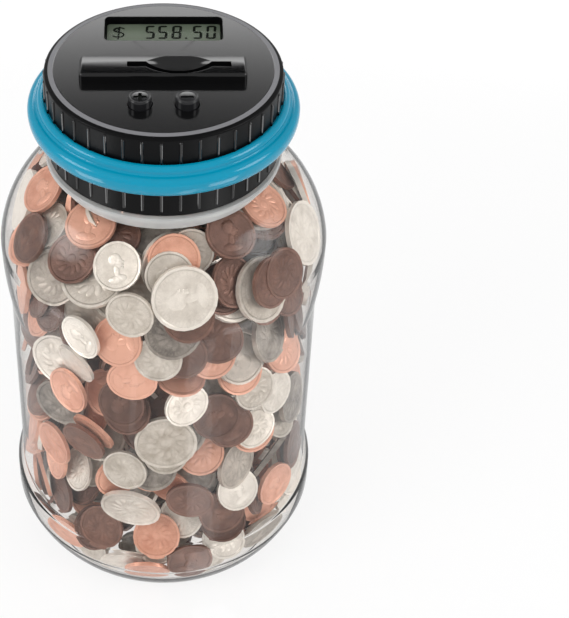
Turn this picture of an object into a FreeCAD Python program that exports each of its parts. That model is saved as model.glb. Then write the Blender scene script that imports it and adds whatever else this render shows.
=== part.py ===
import FreeCAD, Part
import math
import os

# Digital coin counting jar: a clear round jar, and a screw lid that holds a
# coin slot, a measuring lever, a circuit board, a display and two buttons.
# Millimetres. +Z is up, the origin is the centre of the jar's base on the
# table, and the buttons' side of the lid is -Y.

# ---------------------------------------------------------------- jar sizes
JAR_WALL = 1.6
BODY_R = 63.0            # lower body
BASE_R = BODY_R - 11.0   # outer edge of the standing ring
FOOT_R = BASE_R - 5.0    # inner edge of the standing ring
PUSH_UP = 6.0            # rise of the domed base
PANEL_R = BODY_R - 2.5   # recessed label panel
BULGE_R = BODY_R - 0.1   # widest point of the upper body
HEEL_Z = 20.6            # top of the tapered heel
STEP_Z0, STEP_Z1 = HEEL_Z + 10.5, HEEL_Z + 13.8
PANEL_TOP = 125.5
BULGE_Z = PANEL_TOP + 28.0
SHOULDER_Z = BULGE_Z + 32.8
NECK_R = 40.2
NECK_BORE = NECK_R - 2.4
COLLAR_R = NECK_R + 3.75
COLLAR_Z0, COLLAR_Z1 = SHOULDER_Z + 5.1, SHOULDER_Z + 7.3
FINISH_R = NECK_R - 1.0  # neck that the lid screws over
LIP_Z = SHOULDER_Z + 25.7
# the jar is one blown piece: its four zones meet face to face
JAR_ZONES = {
    "base": (0.0, HEEL_Z),
    "wall": (HEEL_Z, PANEL_TOP),
    "shoulder": (PANEL_TOP, SHOULDER_Z),
    "neck": (SHOULDER_Z, LIP_Z),
}

# ---------------------------------------------------------------- lid sizes
FLOOR_Z0 = LIP_Z + 1.5   # underside of the lid's floor, on the seal
FLOOR_Z1 = FLOOR_Z0 + 2.0
TOP_Z = FLOOR_Z1 + 13.0  # flat top of the lid
TOP_T = 2.2
SKIRT_R = NECK_R + 2.8
SKIRT_IN = SKIRT_R - 1.6
SKIRT_Z = FLOOR_Z1 + 1.8
SPIGOT_TOP = FLOOR_Z1 + 3.5
SPIGOT_IN = SKIRT_IN - 1.5
BEVEL_IN = SKIRT_R - 3.4
BEVEL_MID = SKIRT_R - 1.7
BAND_R = SKIRT_R - 0.3
BAND_IN = BAND_R - 1.8
BAND_TOP = FLOOR_Z0 - 5.0
BAND_Z = BAND_TOP - 14.3
SEAT_R = BAND_R - 0.35   # neck of the lid that the ring slips over
RIB_COUNT = 40
RIB_PHASE = -1.0
RIB_W = 1.3
RIB_OUT = 0.5
RIB_GAP = 0.15
RING_R = SKIRT_R + 6.6
RING_Z0, RING_Z1 = BAND_TOP - 0.4, SKIRT_Z + 0.6
SEAL_IN = NECK_BORE - 1.3

# ------------------------------------------------- coin slot on the lid's top
SLOT_X0, SLOT_X1 = -13.0, 24.0
SLOT_Y = -3.9
SLOT_W = 3.1
BAR_X0, BAR_X1 = -30.0, 29.6
BAR_Y0, BAR_Y1 = -10.2, 2.0
BAR_H = 4.0
NOTCH_X, NOTCH_L, NOTCH_W = 5.4, 25.6, 5.7
NOTCH_LIFT = 1.2

# ---------------------------------------------------------------- display
LCD_W, LCD_D, LCD_Y = SKIRT_IN + 1.9, 15.5, SKIRT_IN - 16.95
LCD_DEPTH = 2.9
LENS_T = 1.0
GLASS_T = 2.2
LCD_EDGE = 1.0

# ---------------------------------------------------------------- buttons
BUTTON_X, BUTTON_Y, BUTTON_R = 8.2, -23.0, 4.2
BUTTON_OUT = 3.3
BUTTON_TRAVEL = 0.8
FLANGE_R, FLANGE_T = 5.3, 1.2

# ---------------------------------------------------------------- circuit
PCB_R, PCB_T = SKIRT_IN - 2.4, 1.6
PCB_TOP = TOP_Z - 7.3

# ---------------------------------------------------------------- coin chute
CHUTE_WALL = 1.5
CHUTE_BOT = BAND_Z - 0.7
CHUTE_X0, CHUTE_X1 = -28.5, 25.5
PIVOT_X, PIVOT_Z = CHUTE_X0 + 6.5, TOP_Z - 6.5
SHAFT_R = 1.5
LEVER_T = 2.0
LEVER_L = 30.4
LEVER_REST = -24.0
HUB_R = 2.7

# ---------------------------------------------------------------- battery bay
CELL_R, CELL_L = 5.25, 44.5
CELL_NUB = 0.8
BAY_Y0 = 0.3
BAY_WALL = 1.2
BAY_BOT = FLOOR_Z0 - 13.2
DOOR_T = 1.8
SCREW_L = 6.7            # door screw, under its head
SPRING_L = 4.3
PLATE_T = 0.4

# ---------------------------------------------------------------- clearances
RUN = 0.05               # shaft in its bearings, radial
SLIDE = 0.3              # button in its hole, radial
FIT = 0.1                # parts that drop into each other
HAIR = 0.02              # parts fixed on each other

UP = FreeCAD.Vector(0, 0, 1)
UNDER = TOP_Z - TOP_T
SCREW_X, SCREW_Y = SKIRT_R - 13.5, 15.0
SCREW_POS = [(SCREW_X, SCREW_Y), (-SCREW_X, SCREW_Y), (-SCREW_X, -SCREW_Y), (SCREW_X, -SCREW_Y)]
BOARD_POS = [(17.0, 9.0 - PCB_R), (-17.0, 9.0 - PCB_R), (PCB_R - 4.8, 5.0), (4.8 - PCB_R, 5.0)]
os.makedirs("parts", exist_ok=True)


def vec(x, y, z):
    return FreeCAD.Vector(x, y, z)


def box(x0, x1, y0, y1, z0, z1):
    return Part.makeBox(x1 - x0, y1 - y0, z1 - z0, vec(x0, y0, z0))


def rod(r, z0, z1, x=0.0, y=0.0):
    return Part.makeCylinder(r, z1 - z0, vec(x, y, z0), UP)


def tube(r_in, r_out, z0, z1, x=0.0, y=0.0):
    return rod(r_out, z0, z1, x, y).cut(rod(r_in, z0 - 1, z1 + 1, x, y))


def rod_y(r, y0, y1, x, z):
    return Part.makeCylinder(r, y1 - y0, vec(x, y0, z), vec(0, 1, 0))


def rod_x(r, x0, x1, y, z):
    return Part.makeCylinder(r, x1 - x0, vec(x0, y, z), vec(1, 0, 0))


def line(a, b):
    return Part.makeLine(vec(a[0], 0, a[1]), vec(b[0], 0, b[1]))


def bow(a, m, b, count):
    """The arc from a through m to b, as a run of equal chords."""
    curve = Part.Arc(vec(a[0], 0, a[1]), vec(m[0], 0, m[1]), vec(b[0], 0, b[1]))
    ends = [(p.x, p.z) for p in curve.discretize(Number=count + 1)]
    ends[0], ends[-1] = a, b
    return [line(ends[i], ends[i + 1]) for i in range(count)]


def face_of(edges):
    return Part.Face(Part.Wire(edges))


def polygon(points):
    return face_of([line(points[i], points[(i + 1) % len(points)]) for i in range(len(points))])


def spin(face):
    return face.revolve(vec(0, 0, 0), UP, 360)


def prism_y(face, y0, y1):
    shape = face.extrude(vec(0, y1 - y0, 0))
    shape.translate(vec(0, y0, 0))
    return shape


def round_box(w, d, r, x, y, z0, z1):
    """Upright block with rounded corners, centred on x, y."""
    block = box(x - w / 2, x + w / 2, y - d / 2, y + d / 2, z0, z1)
    edges = [e for e in block.Edges if abs(e.BoundBox.ZLength - (z1 - z0)) < 1e-6]
    return block.makeFillet(r, edges)


def fuse(shapes):
    return shapes[0].multiFuse(shapes[1:]).removeSplitter()


def solid(shape):
    solids = shape.Solids
    return solids[0] if len(solids) == 1 else Part.makeCompound(solids)


def save(name, shape):
    solid(shape).exportStep("parts/" + name + ".step")


# ==================================================================== the jar
def jar_outline(inset):
    """Right half of the jar's body; inset moves it inwards from the outside."""
    i = inset
    heel = (BODY_R - i, HEEL_Z)
    step_low = (BODY_R - i, STEP_Z0)
    step_top = (PANEL_R - i, STEP_Z1)
    panel_top = (PANEL_R - i, PANEL_TOP)
    bulge = (BULGE_R - i, BULGE_Z)
    shoulder = (NECK_R + 9.1 - 0.75 * i, SHOULDER_Z - 5.6 - 0.75 * i)
    root = (NECK_R if i == 0 else NECK_BORE, SHOULDER_Z - 0.9 * i)
    foot = (BASE_R - 0.8 * i, 0.9 * i)
    ring_in = (FOOT_R - 0.6 * i, 0.95 * i)
    centre = (0.0, PUSH_UP + i)
    fine = 1 if i == 0 else 0
    edges = bow(centre, (0.55 * FOOT_R, PUSH_UP * 0.7 + i), ring_in, 2)
    edges.append(line(ring_in, foot))
    edges += bow(foot, (BODY_R - 4.8 - 0.85 * i, HEEL_Z - 11.55 + 0.4 * i), heel, 2 + fine)
    edges.append(line(heel, step_low))
    edges.append(line(step_low, step_top))
    edges.append(line(step_top, panel_top))
    edges += bow(panel_top, (BULGE_R - 0.5 - i, BULGE_Z - 14.0), bulge, 2 + fine)
    edges += bow(bulge, (BULGE_R - 3.7 - 0.95 * i, BULGE_Z + 13.1 - 0.3 * i), shoulder, 4 + 2 * fine)
    edges += bow(shoulder, (NECK_R + 4.4 - 0.6 * i, SHOULDER_Z - 1.9 - 0.9 * i), root, 2 + fine)
    return edges, root


def make_jar():
    outer, root = jar_outline(0.0)
    inner, throat = jar_outline(JAR_WALL)
    neck = [
        line(root, (NECK_R, COLLAR_Z0)),
        line((NECK_R, COLLAR_Z0), (COLLAR_R, COLLAR_Z0 + 0.5)),
        line((COLLAR_R, COLLAR_Z0 + 0.5), (COLLAR_R, COLLAR_Z1)),
        line((COLLAR_R, COLLAR_Z1), (FINISH_R, COLLAR_Z1)),
        line((FINISH_R, COLLAR_Z1), (FINISH_R, LIP_Z)),
        line((FINISH_R, LIP_Z), (0, LIP_Z)),
        line((0, LIP_Z), (0, PUSH_UP)),
    ]
    bore = [
        line(throat, (NECK_BORE, LIP_Z + 1)),
        line((NECK_BORE, LIP_Z + 1), (0, LIP_Z + 1)),
        line((0, LIP_Z + 1), (0, PUSH_UP + JAR_WALL)),
    ]
    return spin(face_of(outer + neck)).cut(spin(face_of(inner + bore)))


# ==================================================== ribbed skirts of the lid
def ribs(radius, z0, z1):
    """Grip ribs standing out of a skirt, with sloping top ends."""
    inside = radius - 0.6
    outside = radius + RIB_OUT
    side = polygon([(inside, z0), (outside, z0), (outside, z1 - 0.6), (inside, z1)])
    bars = []
    for k in range(RIB_COUNT):
        bar = prism_y(side, -RIB_W / 2, RIB_W / 2)
        bar.rotate(vec(0, 0, 0), UP, RIB_PHASE + k * 360.0 / RIB_COUNT)
        bars.append(bar)
    return bars


def chute_clearance(z0, z1, gap):
    y0 = SLOT_Y - SLOT_W / 2 - CHUTE_WALL - gap
    y1 = SLOT_Y + SLOT_W / 2 + CHUTE_WALL + gap
    return box(CHUTE_X0 - gap, CHUTE_X1 + gap, y0, y1, z0, z1)


BAY_X = CELL_L / 2 + SPRING_L / 2 + PLATE_T          # inner end of the bay
CELL_Y0 = BAY_Y0 + BAY_WALL + 0.2 + CELL_R
CELL_Y1 = CELL_Y0 + 2 * CELL_R + 0.2
BAY_Y1 = CELL_Y1 + CELL_R + 0.2 + BAY_WALL
CELL_Z = BAY_BOT + DOOR_T + 0.35 + CELL_R
TAB_Y = BAY_Y1 + 2.7
LEDGE = 0.6


def make_lid_base():
    wall = polygon([
        (BAND_IN, BAND_Z), (BAND_R, BAND_Z), (BAND_R, BAND_TOP), (SEAT_R, BAND_TOP),
        (SEAT_R, SKIRT_Z), (SKIRT_IN - FIT, SKIRT_Z), (SKIRT_IN - FIT, SPIGOT_TOP),
        (SPIGOT_IN, SPIGOT_TOP), (SPIGOT_IN, FLOOR_Z1), (0, FLOOR_Z1), (0, FLOOR_Z0), (BAND_IN, FLOOR_Z0),
    ])
    base = spin(wall)
    bay = box(-BAY_X - BAY_WALL, BAY_X + BAY_WALL, BAY_Y0, BAY_Y1, BAY_BOT, FLOOR_Z0)
    bay = bay.fuse(rod(2.9, BAY_BOT + DOOR_T, FLOOR_Z0, 0, TAB_Y))
    bay = bay.cut(box(-BAY_X, BAY_X, BAY_Y0 + BAY_WALL, BAY_Y1 - BAY_WALL, BAY_BOT - 1, FLOOR_Z0))
    rebate = box(-BAY_X - LEDGE, BAY_X + LEDGE, BAY_Y0 + LEDGE, BAY_Y1 - LEDGE, BAY_BOT - 1, BAY_BOT + DOOR_T)
    bay = bay.cut(rebate)
    bay = bay.cut(box(-3.2, 3.2, BAY_Y1 - 2, BAY_Y1 + 1, BAY_BOT - 1, BAY_BOT + DOOR_T))
    bay = bay.cut(rod(1.1 + RUN, BAY_BOT, BAY_BOT + SCREW_L + 2.0, 0, TAB_Y))
    base = base.fuse(bay)
    base = base.multiFuse(ribs(BAND_R, BAND_Z + 2.4, BAND_TOP))
    base = base.cut(chute_clearance(FLOOR_Z0 - 1, FLOOR_Z1 + 1, 0.25))
    for x, y in SCREW_POS:
        base = base.cut(rod(1.3, FLOOR_Z0 - 1, FLOOR_Z1 + 1, x, y))
    for y in (CELL_Y0, CELL_Y1):
        base = base.cut(box(BAY_X - PLATE_T - FIT, BAY_X + FIT, y - 1.3, y + 1.3, FLOOR_Z0 - 1, FLOOR_Z1 + 1))
    return base.removeSplitter()


def make_trim_ring():
    out = RING_R
    inside = SKIRT_R + RIB_OUT + RIB_GAP
    bead = (out - 3.6, RING_Z1 - 2.3)
    groove = (out - 2.65, RING_Z1 - 3.0)
    roll = (out, RING_Z1 - 5.9)
    foot = (out - 0.7, RING_Z0 + 0.5)
    edges = [line((inside, RING_Z1), (inside + 0.75, RING_Z1))]
    edges += bow((inside + 0.75, RING_Z1), (out - 4.05, RING_Z1 - 0.75), bead, 3)
    edges += bow(bead, (out - 3.25, RING_Z1 - 2.85), groove, 2)
    edges += bow(groove, (out - 0.7, RING_Z1 - 3.9), roll, 4)
    edges += bow(roll, (out - 0.2, RING_Z1 - 8.0), foot, 2)
    core_in, core_out = out - 4.6, out - 2.7
    core_top = RING_Z0 + 4.5
    under = BAND_R + RIB_OUT + RIB_GAP
    corners = [
        foot, (out - 1.5, RING_Z0), (core_out, RING_Z0), (core_out, core_top), (core_in, core_top),
        (core_in, RING_Z0), (under, RING_Z0), (under, BAND_TOP), (SEAT_R + HAIR, BAND_TOP),
        (SEAT_R + HAIR, SKIRT_Z), (inside, SKIRT_Z), (inside, RING_Z1),
    ]
    edges += [line(a, b) for a, b in zip(corners, corners[1:])]
    return spin(face_of(edges))


def slot_bar():
    """Raised bar round the coin slot: crowned top, rounded ends and edges."""
    y0, y1 = BAR_Y0, BAR_Y1
    mid = (y0 + y1) / 2
    top = TOP_Z + BAR_H
    pts = [vec(0, y0, UNDER + 1), vec(0, y0, top - 1.5), vec(0, y0 + 1.3, top - 0.35)]
    pts += [vec(0, y1 - 0.6, top - 0.35), vec(0, y1, top - 0.9), vec(0, y1, UNDER + 1)]
    edges = [
        Part.makeLine(pts[0], pts[1]),
        Part.Arc(pts[1], vec(0, y0 + 0.4, top - 0.7), pts[2]).toShape(),
        Part.Arc(pts[2], vec(0, mid + 0.4, top), pts[3]).toShape(),
        Part.Arc(pts[3], vec(0, y1 - 0.16, top - 0.5), pts[4]).toShape(),
        Part.makeLine(pts[4], pts[5]),
        Part.makeLine(pts[5], pts[0]),
    ]
    bar = Part.Face(Part.Wire(edges)).extrude(vec(BAR_X1 - BAR_X0, 0, 0))
    bar.translate(vec(BAR_X0, 0, 0))
    ends = round_box(BAR_X1 - BAR_X0, y1 - y0, 1.6, (BAR_X0 + BAR_X1) / 2, mid, UNDER, top + 1)
    return bar.common(ends)


def thumb_notch():
    """Spindle-shaped scoop across the slot: an arc spun about the bar's length."""
    axis_z = TOP_Z + BAR_H + NOTCH_LIFT
    half = NOTCH_L / 2 + 1.4
    rim = bow((-half, 0), (0, NOTCH_W + 0.1), (half, 0), 8)
    spindle = face_of(rim + [line((half, 0), (-half, 0))]).revolve(vec(0, 0, 0), vec(1, 0, 0), 360)
    spindle.translate(vec(NOTCH_X, SLOT_Y, axis_z))
    return spindle


def make_top_cover():
    """Upper moulding of the lid, saved as deck and bar that meet at the flat top."""
    shell = polygon([
        (SKIRT_IN, SKIRT_Z), (SKIRT_R, SKIRT_Z), (SKIRT_R, TOP_Z - 0.9), (BEVEL_MID, TOP_Z - 0.15),
        (BEVEL_IN, TOP_Z), (0, TOP_Z), (0, UNDER), (SKIRT_IN, UNDER),
    ])
    cover = spin(shell).multiFuse(ribs(SKIRT_R, SKIRT_Z, TOP_Z - 0.8))
    cover = cover.fuse(slot_bar())
    rim_w, rim_d = LCD_W + 2 * LCD_EDGE, LCD_D + 2 * LCD_EDGE
    rim = round_box(rim_w, rim_d, 2.8, 0, LCD_Y, TOP_Z - LCD_DEPTH, TOP_Z - 1)
    cover = cover.fuse(rim)
    cover = cover.multiFuse([rod(3.0, FLOOR_Z1, UNDER + 1, x, y) for x, y in SCREW_POS])
    cover = cover.multiFuse([rod(2.2, PCB_TOP, UNDER + 1, x, y) for x, y in BOARD_POS])
    cover = cover.cut(round_box(LCD_W, LCD_D, 2.0, 0, LCD_Y, UNDER - 3, TOP_Z + 1))
    cover = cover.cut(thumb_notch())
    y0, y1 = SLOT_Y - SLOT_W / 2, SLOT_Y + SLOT_W / 2
    cover = cover.cut(box(SLOT_X0, SLOT_X1, y0, y1, UNDER - 1, TOP_Z + BAR_H + 1))
    for x, y in SCREW_POS:
        cover = cover.cut(rod(1.1 + HAIR, FLOOR_Z1 - 1, UNDER - 4.3, x, y))
    for x, y in BOARD_POS:
        cover = cover.cut(rod(0.9 + HAIR, PCB_TOP - 1, UNDER - 0.8, x, y))
    for side in (-1, 1):
        cover = cover.cut(rod(BUTTON_R + SLIDE, UNDER - 1, TOP_Z + 1, side * BUTTON_X, BUTTON_Y))
    reach = 2 * SKIRT_R
    save("top_cover", cover.common(rod(reach, PCB_TOP - 10, TOP_Z)).removeSplitter())
    save("slot_bar", cover.common(rod(reach, TOP_Z, TOP_Z + BAR_H + 2)).removeSplitter())


# ==================================================================== display
def make_display():
    w, d = LCD_W + 2 * LCD_EDGE, LCD_D + 2 * LCD_EDGE
    lens_z = TOP_Z - LCD_DEPTH
    glass_z = lens_z - LENS_T
    save("lcd_window", round_box(w, d, 2.4, 0, LCD_Y, glass_z, lens_z))
    save("lcd_glass", round_box(w, d, 1.2, 0, LCD_Y, glass_z - GLASS_T, glass_z))
    frame = round_box(w + 2.6, d + 2.6, 3.4, 0, LCD_Y, PCB_TOP, UNDER)
    frame = frame.cut(round_box(w + 2 * FIT, d + 2 * FIT, 1.0, 0, LCD_Y, PCB_TOP - 1, UNDER + 1))
    save("lcd_frame", frame.common(rod(SKIRT_IN - FIT, PCB_TOP - 1, UNDER + 1)))
    strips = []
    for side in (-1, 1):
        y = LCD_Y + side * (d / 2 - 1.6)
        strips.append(box(-w / 2 + 3, w / 2 - 3, y - 1.0, y + 1.0, PCB_TOP, glass_z - GLASS_T))
    save("contact_strips", Part.makeCompound(strips))


def make_buttons():
    dome_top = PCB_TOP + 2.8
    for name, side in (("plus", -1), ("minus", 1)):
        x = side * BUTTON_X
        cap = rod(BUTTON_R, UNDER, TOP_Z + BUTTON_OUT, x, BUTTON_Y)
        rim = [e for e in cap.Edges if abs(e.BoundBox.ZMin - TOP_Z - BUTTON_OUT) < 1e-6]
        cap = cap.makeChamfer(0.45, rim)
        cap = cap.fuse(rod(FLANGE_R, UNDER - FLANGE_T, UNDER, x, BUTTON_Y))
        cap = cap.fuse(rod(2.0, dome_top, UNDER, x, BUTTON_Y)).removeSplitter()
        save(name + "_button", cap)
        roof = dome_top - BUTTON_TRAVEL
        dome = polygon([(4.6, PCB_TOP), (2.2, dome_top), (0, dome_top), (0, roof), (1.8, roof), (3.9, PCB_TOP)])
        dome = spin(dome)
        dome.translate(vec(x, BUTTON_Y, 0))
        save(name + "_dome", dome)


# ==================================================================== circuit
def make_circuit():
    z0 = PCB_TOP - PCB_T
    board = rod(PCB_R, z0, PCB_TOP)
    board = board.cut(chute_clearance(z0 - 1, PCB_TOP + 1, 0.4))
    board = board.cut(box(PIVOT_X - 9.5, PIVOT_X + 9.5, SLOT_Y - 7.4, SLOT_Y - 1.1, z0 - 1, PCB_TOP + 1))
    board = board.cut(box(PIVOT_X - 4.0, PIVOT_X + 4.0, SLOT_Y + 1.9, SLOT_Y + 8.3, z0 - 1, PCB_TOP + 1))
    for x, y in SCREW_POS:
        board = board.cut(rod(3.3, z0 - 1, PCB_TOP + 1, x, y))
    for x, y in BOARD_POS:
        board = board.cut(rod(1.1, z0 - 1, PCB_TOP + 1, x, y))
    save("circuit_board", board)
    save("controller_chip", box(-1.0, 9.0, 3.2, 13.2, PCB_TOP, PCB_TOP + 1.5))
    can = round_box(9.0, 3.6, 1.7, -9.0, 9.0, PCB_TOP, PCB_TOP + 3.0)
    save("crystal", can)


# ==================================================================== chute
def chute_outer():
    funnel = (CHUTE_X0 + 16.0, CHUTE_BOT)
    return polygon([(CHUTE_X0, UNDER), (CHUTE_X1, UNDER), (CHUTE_X1, CHUTE_BOT), funnel, (CHUTE_X0, FLOOR_Z1 + 2.5)])


def chute_hollow():
    left, right = CHUTE_X0 + CHUTE_WALL, SLOT_X1
    roof = UNDER - 1.1
    return polygon([(SLOT_X0, UNDER + 1), (right, UNDER + 1), (right, CHUTE_BOT - 1), (left + 16.9, CHUTE_BOT - 1),
                    (left, FLOOR_Z1 + 2.9), (left, roof), (SLOT_X0, roof)])


def make_chute():
    half_w = SLOT_W / 2
    for name, side in (("front", -1), ("rear", 1)):
        back = SLOT_Y + side * (half_w + CHUTE_WALL)
        inner = SLOT_Y + side * half_w
        shell = prism_y(chute_outer(), min(back, SLOT_Y), max(back, SLOT_Y))
        past = SLOT_Y - side
        shell = shell.cut(prism_y(chute_hollow(), min(inner, past), max(inner, past)))
        ears = []
        for x in (-8.0, 16.0):
            far = back + side * 3.4
            ear = box(x - 3.0, x + 3.0, min(back, far), max(back, far), FLOOR_Z1, FLOOR_Z1 + 1.5)
            ear = ear.fuse(rod(3.0, FLOOR_Z1, FLOOR_Z1 + 1.5, x, far))
            hidden = back - 4 * side
            ear = ear.cut(box(x - 4, x + 4, min(back, hidden), max(back, hidden), FLOOR_Z1 - 5, FLOOR_Z1 + 4))
            ears.append(ear)
        shell = shell.multiFuse(ears)
        for x in (-8.0, 16.0):
            shell = shell.cut(rod(0.9 + HAIR, FLOOR_Z1 - 1, FLOOR_Z1 + 3, x, back + side * 3.4))
        shell = shell.cut(rod_y(SHAFT_R + RUN, -20, 20, PIVOT_X, PIVOT_Z))
        save("chute_" + name, shell.removeSplitter())


def make_lever():
    """Coin lever: hub, tapered arm and rounded tip; it turns with the shaft."""
    y0, y1 = SLOT_Y - LEVER_T / 2, SLOT_Y + LEVER_T / 2
    tip_r = 1.5
    root = HUB_R - 0.7
    arm = polygon([(0, root), (LEVER_L, tip_r), (LEVER_L, -tip_r), (0, -root)])
    arm = prism_y(arm, y0, y1)
    tip = rod_y(tip_r, y0, y1, LEVER_L, 0)
    lever = fuse([rod_y(HUB_R, y0, y1, 0, 0), arm, tip])
    lever.rotate(vec(0, 0, 0), vec(0, 1, 0), -LEVER_REST)
    lever.translate(vec(PIVOT_X, 0, PIVOT_Z))
    save("coin_lever", lever.cut(rod_y(SHAFT_R + HAIR, y0 - 1, y1 + 1, PIVOT_X, PIVOT_Z)))
    front = SLOT_Y - SLOT_W / 2 - CHUTE_WALL
    rear = SLOT_Y + SLOT_W / 2 + CHUTE_WALL
    save("lever_shaft", rod_y(SHAFT_R, front - 3.8, rear + 3.6, PIVOT_X, PIVOT_Z))
    # wiper: a hub with a two-pronged spring finger, fixed on the shaft's front end
    wy0, wy1 = front - 2.4, front - 1.7
    hub = rod_y(2.8, wy0 - 0.8, wy1, PIVOT_X, PIVOT_Z)
    prongs = []
    for dz in (-1.1, 1.1):
        prongs.append(box(PIVOT_X, PIVOT_X + 6.0, wy0 + 0.2, wy1, PIVOT_Z + dz - 0.5, PIVOT_Z + dz + 0.5))
    wiper = fuse([hub] + prongs).cut(rod_y(SHAFT_R + HAIR, wy0 - 3, wy1 + 3, PIVOT_X, PIVOT_Z))
    wiper.rotate(vec(PIVOT_X, 0, PIVOT_Z), vec(0, 1, 0), 20)
    save("contact_wiper", wiper)
    board = box(PIVOT_X - 8.0, PIVOT_X + 9.0, front - 1.2, front, FLOOR_Z1 + 1.7, UNDER - 0.4)
    save("encoder_board", board.cut(rod_y(SHAFT_R + 0.5, front - 3, front + 1, PIVOT_X, PIVOT_Z)))
    # torsion spring round the shaft's rear end, with its two legs
    coil = rod_y(2.9, rear, rear + 2.8, PIVOT_X, PIVOT_Z).cut(rod_y(1.85, rear - 1, rear + 4, PIVOT_X, PIVOT_Z))
    leg_a = box(PIVOT_X - 2.9, PIVOT_X - 2.2, rear, rear + 0.6, PIVOT_Z - 0.5, PIVOT_Z + 4.1)
    leg_b = box(PIVOT_X + 2.2, PIVOT_X + 2.9, rear + 2.2, rear + 2.8, PIVOT_Z - 3.4, PIVOT_Z + 0.5)
    save("lever_spring", fuse([coil, leg_a, leg_b]))


# ==================================================================== battery bay
def make_battery_bay():
    can_l = CELL_L - CELL_NUB
    end = BAY_X - PLATE_T
    for name, y, sign in (("front", CELL_Y0, 1), ("rear", CELL_Y1, -1)):
        nub = end - CELL_NUB
        can = rod_x(CELL_R, nub - can_l, nub, y, CELL_Z)
        cell = can.makeChamfer(0.4, [e for e in can.Edges if abs(e.Length - 2 * math.pi * CELL_R) < 1e-3])
        cell = cell.fuse(rod_x(1.9, nub - 0.5, end, y, CELL_Z))
        if sign < 0:
            cell = cell.mirror(vec(0, 0, 0), vec(1, 0, 0))
        save("battery_" + name, cell.removeSplitter())

    def spring(y):
        cone = Part.makeCone(3.6, 2.4, SPRING_L, vec(-end, y, CELL_Z), vec(1, 0, 0))
        return cone.cut(Part.makeCone(3.0, 1.8, SPRING_L, vec(-end, y, CELL_Z), vec(1, 0, 0)))

    def plate(y0, y1):
        return box(-BAY_X, -end, y0, y1, CELL_Z - 4.2, CELL_Z + 4.2)

    mirror = (vec(0, 0, 0), vec(1, 0, 0))
    bridge = plate(CELL_Y0 - 4.2, CELL_Y1 + 4.2).fuse(spring(CELL_Y0))
    save("bridge_contact", bridge)
    tab_z = PCB_TOP - PCB_T
    for name, y, sprung in (("plus", CELL_Y0, False), ("minus", CELL_Y1, True)):
        contact = plate(y - 4.2, y + 4.2).fuse(box(-BAY_X, -end, y - 1.0, y + 1.0, CELL_Z, tab_z))
        if sprung:
            contact = contact.fuse(spring(y))
        save(name + "_contact", contact.mirror(*mirror).removeSplitter())
    gap = 0.15
    reach = BAY_X + LEDGE - gap
    door = round_box(2 * reach, BAY_Y1 - BAY_Y0 - 2 * LEDGE - 2 * gap, 0.6, 0, (BAY_Y0 + BAY_Y1) / 2, BAY_BOT,
                     BAY_BOT + DOOR_T)
    door = door.fuse(box(-2.9, 2.9, BAY_Y1 - 3, TAB_Y, BAY_BOT, BAY_BOT + DOOR_T))
    door = door.fuse(rod(2.9, BAY_BOT, BAY_BOT + DOOR_T, 0, TAB_Y))
    door = door.cut(rod(1.1 + HAIR, BAY_BOT - 1, BAY_BOT + 5, 0, TAB_Y)).removeSplitter()
    save("battery_door", door)
    screw = rod(2.2, BAY_BOT - 1.4, BAY_BOT, 0, TAB_Y).fuse(rod(1.1, BAY_BOT, BAY_BOT + SCREW_L, 0, TAB_Y))
    save("door_screw", screw.removeSplitter())


def make_screws():
    case = []
    for x, y in SCREW_POS:
        case.append(fuse([rod(2.4, FLOOR_Z0 - 1.5, FLOOR_Z0, x, y), rod(1.1, FLOOR_Z0, UNDER - 5.3, x, y)]))
    save("case_screws", Part.makeCompound(case))
    board = []
    under = PCB_TOP - PCB_T
    for x, y in BOARD_POS:
        board.append(fuse([rod(1.9, under - 1.2, under, x, y), rod(0.9, under, UNDER - 1.5, x, y)]))
    save("board_screws", Part.makeCompound(board))


jar = make_jar()
for zone, (low, high) in JAR_ZONES.items():
    save("jar_" + zone, jar.common(rod(COLLAR_R + BODY_R, low, high)))
save("lid_seal", tube(SEAL_IN, BAND_IN - 0.4, LIP_Z, FLOOR_Z0))
save("lid_base", make_lid_base())
save("trim_ring", make_trim_ring())
make_top_cover()
make_display()
make_buttons()
make_circuit()
make_chute()
make_lever()
make_battery_bay()
make_screws()
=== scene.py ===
"""Looks of a digital coin counting jar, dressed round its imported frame.

The clear jar, the black and blue screw lid, the display and the saved coins
are modelled here. The inner works keep their frame shapes and get finishes.
Lengths in this file are millimetres until ``mm`` turns them into metres.
"""

import logging
import math
import random
from dataclasses import dataclass, field
from enum import Enum
from typing import Callable, Optional, Sequence, Union

import bpy
import numpy as np
from mathutils import Matrix, Vector


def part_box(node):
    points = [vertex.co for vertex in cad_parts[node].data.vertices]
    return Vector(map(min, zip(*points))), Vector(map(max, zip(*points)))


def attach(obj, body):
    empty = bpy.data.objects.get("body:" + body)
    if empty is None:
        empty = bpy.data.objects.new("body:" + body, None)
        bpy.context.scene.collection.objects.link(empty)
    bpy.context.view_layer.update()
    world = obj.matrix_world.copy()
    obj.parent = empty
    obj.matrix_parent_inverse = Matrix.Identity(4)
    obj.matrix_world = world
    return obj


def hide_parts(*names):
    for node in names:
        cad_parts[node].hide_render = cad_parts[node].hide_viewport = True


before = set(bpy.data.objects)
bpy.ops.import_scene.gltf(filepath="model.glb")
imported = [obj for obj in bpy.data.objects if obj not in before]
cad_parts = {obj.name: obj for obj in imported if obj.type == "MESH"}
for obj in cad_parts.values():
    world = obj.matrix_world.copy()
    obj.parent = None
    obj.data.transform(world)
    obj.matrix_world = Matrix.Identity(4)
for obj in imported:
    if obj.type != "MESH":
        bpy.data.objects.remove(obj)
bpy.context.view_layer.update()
LOG = logging.getLogger("coin_jar")

Outline = list[tuple[float, float]]
Point = tuple[float, float, float]

SHARP_ANGLE = 32.0
SAME_PLACE_M = 2e-6


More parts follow.
